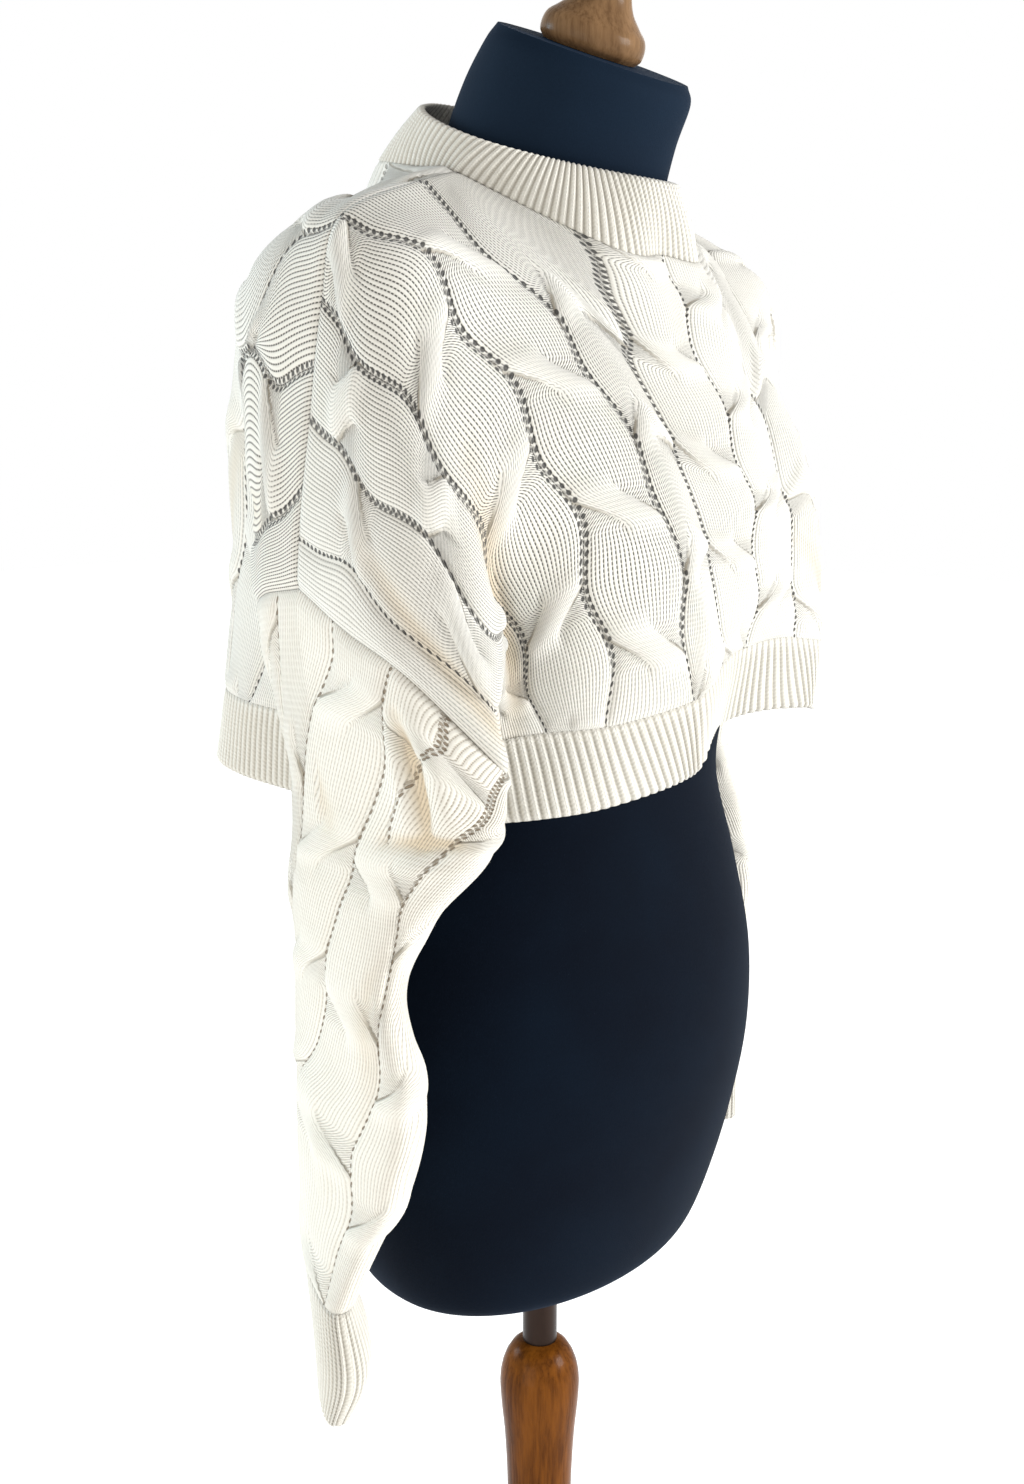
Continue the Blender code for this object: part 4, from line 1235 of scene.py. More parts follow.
    def sleeve(self, side: Side) -> KnitWall:
        """A sleeve, from the armhole to the cuff.

        Args:
            side: The wearer's side.

        Returns:
            The wall of knitting.
        """
        shares, down, points = self.sleeve_grid(side)
        rails, laced, cables = [], [], []
        for turn in (-1.0, 0.0, 1.0):
            for (_, open_stitches, knots), cable in zip(SLEEVE_RAILS, SLEEVE_CABLES):
                places = np.array(knots)
                rails.append(spline(places[:, 0], places[:, 1], down) + turn)
                laced.append(open_stitches)
                cables.append(cable)
        rails = np.maximum.accumulate(np.array(rails), axis=0)
        places = np.array(FRONT_SHORT_LADDER)
        short = spline(places[:, 0], places[:, 1], np.minimum(down, places[-1, 0]))
        short = np.where(down < places[-1, 0], short, NOWHERE)
        pattern = CableField(rails, laced, down, gap_lengths(points).sum(axis=1),
                             cables_of(cables[:-1], 1.0), self.sleeve_stitch, [short])
        return KnitWall(f"knit_sleeve_{side.name.lower()}", points, shares, pattern, True,
                        self.sleeve_tensions(shares, down), SLEEVE_CREASES,
                        (self.sleeve_crease_girth, 1.0),
                        seams=(self.seam_depth, self.cuff_draw, None))

    def cuff(self, side: Side) -> KnitWall:
        """The ribbed cuff of a sleeve.

        Args:
            side: The wearer's side.

        Returns:
            The wall of ribbing.
        """
        shares = np.linspace(0.0, 1.0, self.cuff_ribs * self.rib_steps + 1)
        sections = LEFT_CUFF if side is Side.LEFT else RIGHT_CUFF
        rings = np.array([oval(section, shares, side) for section in sections])
        places = np.linspace(0.0, len(rings) - 1.0, self.cuff_rows)
        points = spline(range(len(rings)), rings, places)
        pattern = RibField(self.cuff_ribs, down_lengths(points), self.cuff_rib_height)
        return self.ribbing(f"knit_cuff_{side.name.lower()}", points, shares, pattern,
                            self.cuff_tension, rolled=(False, True),
                            seams=(self.cuff_seam, None, None), seam_reach=self.cuff_seam_reach)

    def walls(self) -> Dict[str, KnitWall]:
        """Every knitted piece.

        Returns:
            The walls, by the node that each stands for.
        """
        pieces = {
            "front_panel": self.front(), "back_panel": self.back(),
            "front_hem_rib": self.hem("knit_front_hem", FRONT_COURSES, self.hem_lean),
            "back_hem_rib": self.hem("knit_back_hem", BACK_COURSES, 0.0),
            "collar": self.collar(),
        }
        for side in (Side.LEFT, Side.RIGHT):
            pieces[f"sleeve_{side.name.lower()}"] = self.sleeve(side)
            pieces[f"cuff_{side.name.lower()}"] = self.cuff(side)
        return pieces

    def build(self) -> Things:
        """Make an object of each piece, in place of its node.

        Returns:
            The new objects, by node.
        """
        return {node: add_piece(wall.name, wall.mesh(), node)
                for node, wall in self.walls().items()}

    def dress(self, made: Things) -> None:
        """Give every knitted piece its yarn; the sleeves' is a little paler and closer: painted
        light.

        Args:
            made: The sweater's objects, by node.
        """
        panels = KnitYarn("ivory_cable_knit").make()
        # The sleeves' copy is painted paler, as more light falls on them, with lighter, warmer
        # painted shade in its grooves and holes.
        sleeves = KnitYarn("ivory_cable_knit_sleeve_painted_lighter", light=(0.725, 0.698, 0.630),
                           deep=(0.645, 0.608, 0.530), groove=(0.32, 0.27, 0.20),
                           hole=(0.20, 0.150, 0.095)).make()
        # The ribbing's grooves take lighter painted shade.
        ribs = KnitYarn("ivory_ribbing", light=(0.70, 0.678, 0.620), deep=(0.61, 0.578, 0.505),
                        groove=(0.22, 0.190, 0.140), ribbed=True).make()
        for node, thing in made.items():
            plain = sleeves if node.startswith("sleeve") else ribs
            thing.data.materials.append(panels if node.endswith("panel") else plain)


def add_piece(name: str, mesh: bpy.types.Mesh, node: str) -> bpy.types.Object:
    """Put a mesh into the scene as a piece that stands for a node.

    Args:
        name: Name of the new piece.
        mesh: Its mesh.
        node: The node that it replaces.

    Returns:
        The new object.
    """
    thing = bpy.data.objects.new(name, mesh)
    bpy.context.scene.collection.objects.link(thing)
    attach(thing, "root")
    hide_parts(node)
    return thing


# ---- form and stand
def ring_mesh(name: str, rings: Grid, sharp_from: float) -> bpy.types.Mesh:
    """A closed lofted body through rings, from the bottom up.

    Args:
        name: Name of the mesh.
        rings: Rings x sides, as points.
        sharp_from: Degrees between two faces from which their edge looks sharp.

    Returns:
        The new mesh, shaded smooth between its sharp edges.
    """
    count, sides, _ = rings.shape
    row, column = np.mgrid[0:count - 1, 0:sides]
    after = (column + 1) % sides
    faces = np.stack([row * sides + column, row * sides + after,
                      (row + 1) * sides + after, (row + 1) * sides + column], axis=-1)
    faces = faces.reshape(-1, 4).tolist()
    faces.append(list(range(sides))[::-1])
    faces.append([(count - 1) * sides + side for side in range(sides)])
    mesh = bpy.data.meshes.new(name)
    mesh.from_pydata(rings.reshape(-1, 3).tolist(), [], faces)
    mesh.shade_smooth()
    mesh.set_sharp_from_angle(angle=math.radians(sharp_from))
    return mesh


@dataclass
class DressForm:
    """The padded torso with its neck, covered in black jersey."""

    sides: int = 128
    rings: int = 150
    sharp_from: float = 50.0  # degrees
    bust_power: float = 0.5  # below 1 the bust stays full further round to the sides

    def sections(self) -> Grid:
        """Rings up the form, at even steps along its table.

        Returns:
            Rings x sides, as points.
        """
        table = np.array(FORM_SECTIONS)
        places = np.linspace(0, len(table) - 1, self.rings)
        angles = np.arange(self.sides) * FULL_TURN / self.sides
        rings = []
        for z, y, half_width, front, back, tilt in spline(range(len(table)), table, places):
            px = half_width * np.cos(angles)
            depth = np.where(np.sin(angles) < 0, front, back) * np.sin(angles)
            fullness = np.exp(-((np.abs(px) - BUST["x"]) / BUST["spread_x"]) ** 2 / 2
                              - ((z - BUST["z"]) / BUST["spread_z"]) ** 2 / 2)
            fullness = fullness * np.clip(-np.sin(angles), 0, 1) ** self.bust_power
            py = y + depth * math.cos(math.radians(tilt)) - BUST["height"] * fullness
            pz = z + depth * math.sin(math.radians(tilt))
            rings.append(np.stack([px, py, pz], axis=-1))
        return np.array(rings)

    def build(self) -> bpy.types.Object:
        """Make the form in place of its node."""
        mesh = ring_mesh("form_torso", self.sections(), self.sharp_from)
        return add_piece("form_torso", mesh, "dress_form")

    def dress(self, form: bpy.types.Object) -> None:
        """Cover it in jersey."""
        form.data.materials.append(BlackJersey().make())


@dataclass(frozen=True)
class Turning:
    """A turned piece of the stand."""

    name: str
    node: str
    slot: str
    profile: Sequence[Pair]
    sides: int = 96
    steps: int = 8  # rings to each point of the profile
    sharp_from: float = 40.0  # degrees
    tilt: float = 0.0  # degrees backwards
    foot: Point = (0.0, 0.0, 0.0)

    def build(self) -> bpy.types.Object:
        """Turn the profile, tilt it and stand it on its foot, in place of its node.

        Returns:
            The new object.
        """
        knots = np.array(self.profile)
        run = run_along(knots)
        fine = spline(run, knots, np.linspace(0.0, run[-1], self.steps * len(knots)))
        angles = np.arange(self.sides) * FULL_TURN / self.sides
        x, y = fine[:, :1] * np.cos(angles), fine[:, :1] * np.sin(angles)
        z = np.repeat(fine[:, 1:], self.sides, axis=1)
        cosine, sine = math.cos(math.radians(self.tilt)), math.sin(math.radians(self.tilt))
        rings = np.stack([x, y * cosine - z * sine, y * sine + z * cosine], axis=-1)
        mesh = ring_mesh(self.name, rings + np.array(self.foot), self.sharp_from)
        return add_piece(self.name, mesh, self.node)


@dataclass
class Stand:
    """Finial, steel tube, pole and base."""

    gap: float = TOUCH_GAP  # under the finial

    def turnings(self) -> List[Turning]:
        """The four turned pieces.

        Returns:
            The pieces, from the top down.
        """
        tilt = math.radians(NECK_TOP["tilt"])
        foot = (0.0, NECK_TOP["y"] - self.gap * math.sin(tilt),
                NECK_TOP["z"] + self.gap * math.cos(tilt))
        tube = ((TUBE_RADIUS, TUBE_SPAN[0]), (TUBE_RADIUS, TUBE_SPAN[1]))
        return [
            Turning("turned_finial", "finial", "light_wood", FINIAL_PROFILE,
                    tilt=NECK_TOP["tilt"], foot=foot),
            Turning("steel_post", "steel_tube", "tube", tube),
            Turning("turned_pole", "wood_pole", "dark_wood", POLE_PROFILE),
            Turning("turned_base", "wood_base", "dark_wood", BASE_PROFILE),
        ]

    def build(self) -> Things:
        """Make them all, by node."""
        return {turning.node: turning.build() for turning in self.turnings()}

    def dress(self, made: Things) -> None:
        """Varnish the wood and brown the steel.

        Args:
            made: The stand's objects, by node.
        """
        dark = VarnishedWood("dark_varnished_wood", (0.158, 0.050, 0.0055),
                             (0.050, 0.014, 0.002)).make()
        light = VarnishedWood("light_varnished_wood", (0.215, 0.122, 0.058),
                              (0.098, 0.052, 0.024)).make()
        finishes = {"finial": light, "steel_tube": DarkSteel().make(),
                    "wood_pole": dark, "wood_base": dark}
        for node, material in finishes.items():
            made[node].data.materials.append(material)


# ---- finishes
class Wiring:
    """Makes one material and joins up its nodes."""

    def __init__(self, name: str) -> None:
        """Start a material with its Principled shader.

        Args:
            name: Name of the material.
        """
        self.material = bpy.data.materials.new(name)
        self.material.use_nodes = True
        self.tree = self.material.node_tree
        self.shader = self.tree.nodes["Principled BSDF"]
        self.colour: Union[Socket, Colour] = (1.0, 1.0, 1.0)
        self.height: Value = 0.0  # mm

    def node(self, kind: str, **settings: object) -> bpy.types.Node:
        """Add a node.

        Args:
            kind: Blender's name for its type.
            settings: Its properties.

        Returns:
            The new node.
        """
        made = self.tree.nodes.new(kind)
        for name, value in settings.items():
            setattr(made, name, value)
        return made

    def plug(self, socket: Socket, value: Setting) -> None:
        """Join a socket to another one, or give it a value.

        Args:
            socket: An input.
            value: An output to join it to, or the value.
        """
        if isinstance(value, bpy.types.NodeSocket):
            self.tree.links.new(value, socket)
        else:
            socket.default_value = value

    def wired(self, kind: str, inputs: Dict[Union[int, str], Setting],
              **settings: object) -> bpy.types.Node:
        """Add a node with its inputs joined or set.

        Args:
            kind: Blender's name for its type.
            inputs: What goes into each input, by its number or name.
            settings: Its properties.

        Returns:
            The new node.
        """
        made = self.node(kind, **settings)
        for key, value in inputs.items():
            self.plug(made.inputs[key], value)
        return made

    def math(self, operation: str, *values: Value) -> Socket:
        """The result of a Math node."""
        inputs = dict(enumerate(values))
        return self.wired("ShaderNodeMath", inputs, operation=operation).outputs[0]

    def times(self, *values: Value) -> Socket:
        """The product of all the values.

        Args:
            values: Two or more outputs or numbers.

        Returns:
            The product.
        """
        result = values[0]
        for value in values[1:]:
            result = self.math("MULTIPLY", result, value)
        return result

    def step(self, value: Value, low: float, high: float) -> Socket:
        """A smooth step from 0 at low to 1 at high."""
        inputs = {"Value": value, "From Min": low, "From Max": high}
        return self.wired("ShaderNodeMapRange", inputs, interpolation_type="SMOOTHSTEP").outputs[0]

    def between(self, share: Value, low: Value, high: Value) -> Socket:
        """A value part of the way from low to high."""
        inputs = {0: share, 2: low, 3: high}
        return self.wired("ShaderNodeMix", inputs, data_type="FLOAT").outputs[0]

    def tint(self, share: Value, low: Union[Socket, Colour], high: Union[Socket, Colour]) -> Socket:
        """A colour part of the way from one to another.

        Args:
            share: How much of the way.
            low: The colour at 0.
            high: The colour at 1.

        Returns:
            The mixed colour.
        """
        inputs = {0: share}
        for key, colour in ((6, low), (7, high)):
            inputs[key] = colour if isinstance(colour, bpy.types.NodeSocket) else (*colour, 1.0)
        return self.wired("ShaderNodeMix", inputs, data_type="RGBA").outputs[2]

    def parts(self, vector: Socket) -> Tuple[Socket, Socket, Socket]:
        """The three parts of a vector."""
        return tuple(self.wired("ShaderNodeSeparateXYZ", {0: vector}).outputs)

    def kept(self, name: str) -> Tuple[Socket, Socket, Socket]:
        """The three parts of a vector kept at the mesh's corners."""
        return self.parts(self.node("ShaderNodeAttribute", attribute_name=name).outputs["Vector"])

    def place(self) -> Socket:
        """Where a point lies in the object's own space."""
        return self.node("ShaderNodeTexCoord").outputs["Object"]

    def ridge(self, value: Value) -> Socket:
        """0 in the middle between two whole numbers, and 1 at each of them."""
        off = self.math("SUBTRACT", self.math("FRACT", value), 0.5)
        return self.math("MULTIPLY", self.math("ABSOLUTE", off), 2.0)

    def noise(self, scale: float, detail: float = 3.0, roughness: float = 0.55,
              stretch: Point = (1.0, 1.0, 1.0)) -> Socket:
        """Noise in the object's own space.

        Args:
            scale: How many grains there are to a metre.
            detail: How many finer layers it has.
            roughness: How strong those are.
            stretch: How much finer it is along x, y and z.

        Returns:
            The noise, from 0 to 1.
        """
        spread = self.wired("ShaderNodeMapping", {"Vector": self.place(), "Scale": stretch})
        inputs = {"Vector": spread.outputs[0], "Scale": scale, "Detail": detail,
                  "Roughness": roughness}
        return self.wired("ShaderNodeTexNoise", inputs).outputs["Fac"]

    def set(self, **values: Setting) -> None:
        """Set the shader's sockets; an underscore stands for a space."""
        for name, value in values.items():
            self.plug(self.shader.inputs[name.replace("_", " ")], value)

    def paint_lighting(self, share: Value, colour: Colour) -> None:
        """Turn the surface's colour so much of the way to another one, for painted light and shade.
        """
        self.colour = self.tint(share, self.colour, colour)

    def lift(self, share: Value, height: float) -> None:
        """Add a share of a height, in millimetres, to the surface's own."""
        self.height = self.math("MULTIPLY_ADD", share, height, self.height)

    def bump(self, height: Socket, strength: float = 1.0) -> None:
        """Raise the surface by a height in millimetres."""
        inputs = {"Strength": strength, "Distance": 1.0 / MM, "Height": height}
        self.set(Normal=self.wired("ShaderNodeBump", inputs).outputs[0])


@dataclass(frozen=True)
class KnitYarn:
    """Cotton yarn: stocking stitch with cables and ladders, or ribbing."""

    name: str
    light: Colour = (0.695, 0.675, 0.620)
    deep: Colour = (0.605, 0.576, 0.510)
    # Painted shade in the grooves between wales and between ribs, and in the gaps between stitches
    # pulled open.
    groove: Colour = (0.075, 0.070, 0.060)
    # Painted dark of an open stitch: the shade inside the garment, and the black form behind a
    # panel.
    hole: Colour = (0.040, 0.039, 0.037)
    shade: Colour = (0.56, 0.44, 0.28)  # painted shade in a deep trough
    slit: Colour = (0.27, 0.235, 0.175)  # painted shade in the slit beside a crossing
    ribbed: bool = False
    # heights, in mm
    wale_height: float = 0.42  # of a stitch's crown above its grooves
    row_height: float = 0.09  # of a row's edge
    rib_row_height: float = -0.234
    rib_middle_height: float = -0.22
    hole_height: float = -0.9
    fuzz_height: float = 0.10
    # shares of the way to another colour: a painted highlight, and painted shade
    strand_highlight: float = 0.35  # painted highlight of an upper strand, towards the light colour
    trough_shade: float = 0.75
    slit_shade: float = 0.85
    hole_shade: Pair = (0.20, 0.90)  # painted dark in a hole, closed and pulled open
    line_shade: float = 0.14  # painted shade of every groove
    open_line_shade: float = 0.20  # and more where it is pulled open
    dash_shade: float = 0.98  # between two stitches there
    rib_groove_shade: float = 0.56
    rib_middle_shade: float = 0.14
    rib_row_shade: float = 0.10
    # holes of a ladder, in mm; of two numbers, the first is for a ladder that is not pulled open
    hole_rows: Pair = (0.35, 2.0)  # from its middle to the rows beside it
    hole_width: Pair = (0.85, 1.30)
    hole_pitch: float = 4.2
    hole_lag: float = 0.19  # of a pitch, from row to row
    hole_slant: float = 0.25
    hole_squash: float = 0.55  # below 1 a hole is longer down the ladder than across it
    hole_edge: Pair = (0.70, 1.15)  # where it starts to fade and where it is gone
    middle_row: float = 0.45  # how dark the middle row is
    # the lie of the stitches
    lean: float = 0.45  # of a stitch's two legs, as a share of a row
    rib_lean: float = -0.9
    closeness: float = 0.60  # how much closer the stitches of an upper strand lie

    def make(self) -> bpy.types.Material:
        """Build the material.

        Returns:
            The new material.
        """
        knit = Wiring(self.name)
        upper, lower, row = knit.kept("strand")
        edge, crossing, slit = knit.kept("cable")
        on_top = knit.times(knit.step(edge, -0.2, 0.2), knit.step(crossing, 0.02, 0.12))
        groove = knit.between(on_top, knit.ridge(lower), knit.ridge(upper))
        calm = knit.math("SUBTRACT", 1.0, knit.times(on_top, crossing, self.closeness))
        knit.colour = self.yarn_colour(knit)
        # Painted highlight on the upper strand of a crossing.
        knit.paint_lighting(knit.times(on_top, crossing, self.strand_highlight), self.light)
        # Painted shade in the troughs.
        knit.paint_lighting(knit.times(knit.kept("fold")[0], self.trough_shade), self.shade)
        crown = knit.math("SUBTRACT", 1.0, knit.times(groove, groove))
        evened = knit.math("MULTIPLY_ADD", calm, 0.5, 0.5)
        knit.height = knit.times(crown, evened, self.wale_height)
        if self.ribbed:
            self.add_ribs(knit, lower, row, groove)
        else:
            self.add_stitches(knit, row, groove, calm)
            self.add_openings(knit, edge, slit)
        knit.lift(knit.noise(1400.0, 2.0), self.fuzz_height)
        knit.bump(knit.height)
        knit.set(Base_Color=knit.colour, Roughness=0.92, Sheen_Weight=0.12, Sheen_Roughness=0.6,
                 Specular_IOR_Level=0.2)
        return knit.material

    def yarn_colour(self, knit: Wiring) -> Socket:
        """The yarn's own colour: a little uneven from place to place and from stitch to stitch.

        Args:
            knit: The material's wiring.

        Returns:
            The colour.
        """
        patches = knit.step(knit.noise(14.0, 3.0), 0.30, 0.72)
        strands = knit.step(knit.noise(620.0, 2.0), 0.30, 0.75)
        share = knit.math("MULTIPLY_ADD", strands, 0.35, knit.times(patches, 0.45))
        return knit.tint(share, self.light, self.deep)

    def add_ribs(self, knit: Wiring, rib: Socket, row: Socket, groove: Socket) -> None:
        """Painted shade between two ribs, up the middle of each and between its stitches across it.

        Args:
            knit: The material's wiring.
            rib: Ribs across.
            row: Rows down.
            groove: 1 between two ribs and 0 on the crown of one.
        """
        middle = knit.step(knit.ridge(knit.math("ADD", rib, 0.5)), 0.72, 1.0)
        beat = knit.ridge(knit.math("MULTIPLY_ADD", groove, self.rib_lean, row))
        # Painted shade between the ribs, up each rib's middle and between its rows.
        dark = knit.math("ADD", knit.times(knit.step(groove, 0.30, 1.0), self.rib_groove_shade),
                         knit.times(middle, self.rib_middle_shade))
        dark = knit.math("MULTIPLY_ADD", knit.step(beat, 0.55, 1.0), self.rib_row_shade, dark)
        knit.paint_lighting(dark, self.groove)
        knit.lift(middle, self.rib_middle_height)
        knit.lift(beat, self.rib_row_height)

    def add_stitches(self, knit: Wiring, row: Socket, groove: Socket, calm: Socket) -> None:
        """Stocking stitch: thin grooves of painted shade, and a dash of it beside each stitch that
        is pulled open.

        Args:
            knit: The material's wiring.
            row: Rows down.
            groove: 1 between two wales and 0 on the crown of one.
            calm: How freely the stitches show.
        """
        pulled = knit.times(knit.kept("lace")[2], calm)
        line = knit.step(groove, 0.5, 1.0)
        beat = knit.ridge(knit.math("MULTIPLY_ADD", groove, self.lean, row))
        dash = knit.times(knit.step(groove, 0.50, 0.92),
                          knit.math("SUBTRACT", 1.0, knit.step(beat, 0.40, 0.88)))
        # Painted shade in every groove, more where the stitches are pulled open, and in the gaps
        # between them.
        dark = knit.math("ADD", knit.times(line, pulled, self.open_line_shade),
                         knit.times(dash, pulled, self.dash_shade))
        dark = knit.math("MULTIPLY_ADD", knit.times(line, calm), self.line_shade, dark)
        knit.paint_lighting(dark, self.groove)
        knit.lift(beat, self.row_height)

    def add_openings(self, knit: Wiring, edge: Socket, slit: Socket) -> None:
        """The holes of the ladders, and the slits beside a crossing, sunk and painted with shade.

        Args:
            knit: The material's wiring.
            edge: Distance to the upper strand's edge, in mm.
            slit: How open the slit there is.
        """
        ladder, holes, pull = knit.kept("lace")
        hole = self.holes(knit, ladder, holes, pull)
        # Painted shade in the slit beside a crossing, which is also sunk.
        near = knit.math("SUBTRACT", 1.0, knit.step(knit.math("ABSOLUTE", edge), 0.25, 1.5))
        fold = knit.times(slit, near)
        knit.paint_lighting(knit.times(fold, self.slit_shade), self.slit)
        # Painted dark in each hole: the shade inside the garment, and the black form behind a
        # panel.
        dark = knit.between(knit.step(pull, 0.05, 0.25), *self.hole_shade)
        knit.paint_lighting(knit.times(hole, dark), self.hole)
        knit.lift(knit.math("ADD", hole, fold), self.hole_height)

    def holes(self, knit: Wiring, ladder: Socket, holes: Socket, pull: Socket) -> Socket:
        """The open stitches of a ladder: slots across it, in three rows where it is pulled open.

        Args:
            knit: The material's wiring.
            ladder: Distance to the ladder's middle, in mm.
            holes: Holes down it.
            pull: How far the stitches are pulled open.

        Returns:
            1 inside a hole and 0 outside.
        """
        spread = knit.between(knit.step(pull, 0.25, 0.7), *self.hole_rows)
        wide = knit.between(pull, *self.hole_width)
        rows = []
        for number, way in enumerate((1.0, 0.0, -1.0)):
            aside = knit.math("DIVIDE", knit.math("MULTIPLY_ADD", spread, -way, ladder), wide)
            along = knit.math("FRACT", knit.math("ADD", holes, number * self.hole_lag))
            along = knit.math("MULTIPLY_ADD", along, self.hole_pitch, -0.5 * self.hole_pitch)
            slanted = knit.math("MULTIPLY_ADD", along, self.hole_slant, aside)
            away = knit.math("SQRT", knit.math("ADD", knit.times(slanted, slanted),
                                               knit.times(along, along, self.hole_squash)))
            rows.append(knit.math("SUBTRACT", 1.0, knit.step(away, *self.hole_edge)))
        far_row = knit.math("MAXIMUM", rows[2], knit.times(rows[1], self.middle_row))
        return knit.math("MAXIMUM", rows[0], knit.times(far_row, knit.step(pull, 0.28, 0.5)))


@dataclass(frozen=True)
class BlackJersey:
    """The form's smooth navy-black jersey cover."""

    name: str = "black_jersey_cover"
    light: Colour = (0.0014, 0.0048, 0.011)
    deep: Colour = (0.0004, 0.0014, 0.0045)
    lit_neck_pale: Colour = (0.0062, 0.014, 0.027)
    lit_neck_deep: Colour = (0.004, 0.0095, 0.019)
    lit_neck_from: float = 1.34  # painted light from above: the cover is painted paler above this height
    lit_neck_to: float = 1.42
    weave_height: float = 0.12  # mm

    def make(self) -> bpy.types.Material:
        """Build the material.

        Returns:
            The new material.
        """
        jersey = Wiring(self.name)
        cloudy = jersey.step(jersey.noise(9.0, 3.0), 0.35, 0.7)
        weave = jersey.noise(1900.0, 1.0, stretch=(1.0, 1.0, 0.45))
        share = jersey.math("MULTIPLY_ADD", weave, 0.5, jersey.times(cloudy, 0.5))
        # Painted light from above: the cover is paler towards the neck.
        neck = jersey.step(jersey.parts(jersey.place())[2], self.lit_neck_from, self.lit_neck_to)
        colour = jersey.tint(neck, jersey.tint(share, self.deep, self.light),
                             jersey.tint(share, self.lit_neck_deep, self.lit_neck_pale))
        jersey.set(Base_Color=colour, Roughness=0.78,
                   Sheen_Weight=0.03, Sheen_Roughness=0.4, Sheen_Tint=(0.2, 0.45, 0.9, 1.0),
                   Specular_IOR_Level=0.05)
        jersey.bump(jersey.times(weave, self.weave_height))
        return jersey.material


@dataclass(frozen=True)
class VarnishedWood:
    """Stained and varnished wood, with its grain along the piece."""

    name: str
    light: Colour
    deep: Colour
    pore_height: float = 0.10  # mm

    def make(self) -> bpy.types.Material:
        """Build the material.

        Returns:
            The new material.
        """
        wood = Wiring(self.name)
        grain = wood.noise(26.0, 6.0, 0.62, (3.0, 3.0, 0.35))
        pores = wood.noise(210.0, 3.0, 0.6, (2.2, 2.2, 0.10))
        share = wood.math("MULTIPLY_ADD", pores, 0.45, wood.times(grain, 0.75))
        share = wood.step(share, 0.38, 0.80)
        wood.set(Base_Color=wood.tint(share, self.deep, self.light),
                 Roughness=wood.between(pores, 0.22, 0.34), Specular_IOR_Level=0.045,
                 Coat_Weight=0.03, Coat_Roughness=0.06)
        wood.bump(wood.times(pores, self.pore_height), 0.6)
        return wood.material


@dataclass(frozen=True)
class DarkSteel:
    """The browned steel of the tube."""

    name: str = "browned_steel"
    light: Colour = (0.040, 0.022, 0.015)
    deep: Colour = (0.010, 0.006, 0.005)

    def make(self) -> bpy.types.Material:
        """Build the material.

        Returns:
            The new material.
        """
        steel = Wiring(self.name)
        worn = steel.noise(60.0, 4.0, 0.6, (1.0, 1.0, 0.3))
        steel.set(Base_Color=steel.tint(worn, self.deep, self.light),
                  Metallic=0.85, Roughness=steel.between(worn, 0.28, 0.45))
        return steel.material


@dataclass(frozen=True)
class PaleFloor:
    """A matt white floor."""

    name: str = "pale_floor"

    def make(self) -> bpy.types.Material:
        """Build the material.

        Returns:
            The new material.
        """
        floor = Wiring(self.name)
        floor.set(Base_Color=(0.60, 0.60, 0.60, 1.0), Roughness=0.9,
                  Emission_Color=(1.0, 1.0, 1.0, 1.0), Emission_Strength=0.80)
        return floor.material


# ---- studio
@dataclass(frozen=True)
class Softbox:
    """A square lamp that looks at the sweater."""

    name: str
    place: Point
    size: float
    power: float
    colour: Colour


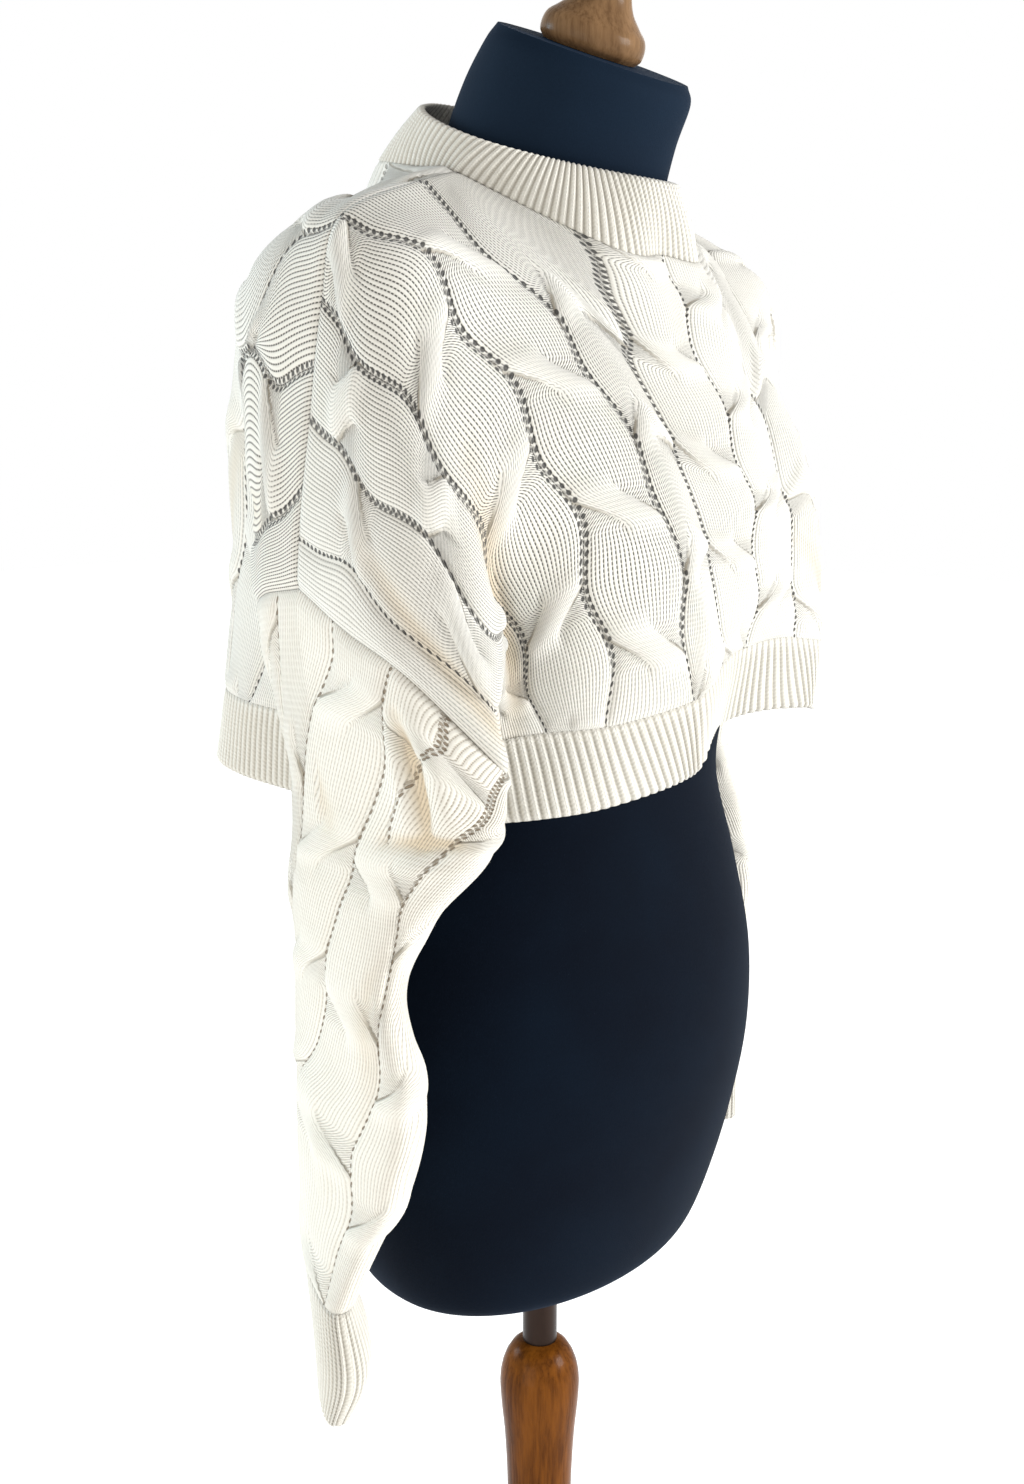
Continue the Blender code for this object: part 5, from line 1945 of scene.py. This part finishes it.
@dataclass
class Studio:
    """Camera, soft light and floor."""

    camera_place: Point = (-0.7667, -0.6188, 1.25)
    camera_turn: Point = (78.9, 0.0, -50.0)
    lens: float = 38.81  # mm
    sensor: float = 36.0  # mm
    focus: Point = (0.0, 0.0, 1.15)  # what the lamps look at
    boxes: Tuple[Softbox, ...] = (
        Softbox("key", (1.2, -2.7, 1.8), 1.2, 104.0, (0.96, 0.98, 1.0)),
        Softbox("side", (-2.6, -0.3, 1.0), 1.8, 23.0, (1.0, 0.97, 0.90)),
        Softbox("window", (-1.0, 2.7, 2.0), 1.2, 44.0, (0.62, 0.86, 1.0)),
        Softbox("back", (2.4, 1.6, 2.0), 1.6, 8.0, (1.0, 0.98, 0.95)),
    )
    world_colour: Colour = (1.0, 1.0, 1.0)
    world_strength: float = 1.0  # white behind the sweater, and its soft fill
    ceiling_strength: float = 0.15  # straight up
    ceiling_start: float = 0.34  # sine of the elevation where the ceiling starts to darken
    floor_half: float = 12.0
    floor_drop: float = 0.0005  # below the base

    def add_camera(self) -> None:
        """The camera, without depth of field."""
        data = bpy.data.cameras.new("camera")
        data.lens = self.lens
        data.sensor_width = self.sensor
        camera = bpy.data.objects.new("camera", data)
        camera.location = self.camera_place
        camera.rotation_euler = [math.radians(angle) for angle in self.camera_turn]
        bpy.context.scene.collection.objects.link(camera)
        bpy.context.scene.camera = camera

    def add_lamp(self, box: Softbox) -> None:
        """One soft lamp, turned to the sweater.

        Args:
            box: The lamp's place, size, power and colour.
        """
        data = bpy.data.lights.new(box.name, "AREA")
        data.size = box.size
        data.energy = box.power
        data.color = box.colour
        lamp = bpy.data.objects.new(box.name, data)
        way = np.array(self.focus) - np.array(box.place)
        flat = math.hypot(way[0], way[1])
        lamp.location = box.place
        lamp.rotation_euler = (math.atan2(flat, -way[2]), 0.0, math.atan2(-way[0], way[1]))
        bpy.context.scene.collection.objects.link(lamp)

    def add_floor(self) -> None:
        """A wide floor under the base."""
        half = self.floor_half
        mesh = bpy.data.meshes.new("floor")
        corners = [(-half, -half, 0.0), (half, -half, 0.0), (half, half, 0.0), (-half, half, 0.0)]
        mesh.from_pydata(corners, [], [(0, 1, 2, 3)])
        mesh.materials.append(PaleFloor().make())
        floor = bpy.data.objects.new("floor", mesh)
        floor.location = (0.0, 0.0, -self.floor_drop)
        bpy.context.scene.collection.objects.link(floor)

    def dim_ceiling(self, tree: bpy.types.NodeTree, background: bpy.types.Node) -> None:
        """White all round, but darker towards the ceiling.

        Args:
            tree: The world's nodes.
            background: The world's background node.
        """
        heading = tree.nodes.new("ShaderNodeSeparateXYZ")
        tree.links.new(tree.nodes.new("ShaderNodeTexCoord").outputs["Generated"], heading.inputs[0])
        fade = tree.nodes.new("ShaderNodeMapRange")
        tree.links.new(heading.outputs["Z"], fade.inputs["Value"])
        for name, value in (("From Min", self.ceiling_start), ("From Max", 1.0),
                            ("To Min", self.world_strength), ("To Max", self.ceiling_strength)):
            fade.inputs[name].default_value = value
        tree.links.new(fade.outputs["Result"], background.inputs["Strength"])

    def build(self) -> None:
        """Set up the whole studio."""
        scene = bpy.context.scene
        scene.view_settings.view_transform = "Standard"
        world = bpy.data.worlds.new("studio")
        world.use_nodes = True
        background = world.node_tree.nodes["Background"]
        background.inputs["Color"].default_value = (*self.world_colour, 1.0)
        self.dim_ceiling(world.node_tree, background)
        scene.world = world
        self.add_camera()
        self.add_floor()
        for box in self.boxes:
            self.add_lamp(box)


# ---- putting it together
def report(made: Things) -> None:
    """Log each new piece."""
    for node, thing in made.items():
        LOG.info("%s for %s: %d faces", thing.name, node, len(thing.data.polygons))


def main() -> None:
    """Build the studio, the form and its stand, and the sweater on it."""
    logging.basicConfig(level=logging.INFO, format="%(name)s: %(message)s")
    Studio().build()
    torso = DressForm()
    form = torso.build()
    torso.dress(form)
    report({"dress_form": form})
    stand = Stand()
    turned = stand.build()
    stand.dress(turned)
    report(turned)
    sweater = Sweater()
    knitted = sweater.build()
    sweater.dress(knitted)
    report(knitted)


if __name__ == "__main__":
    main()
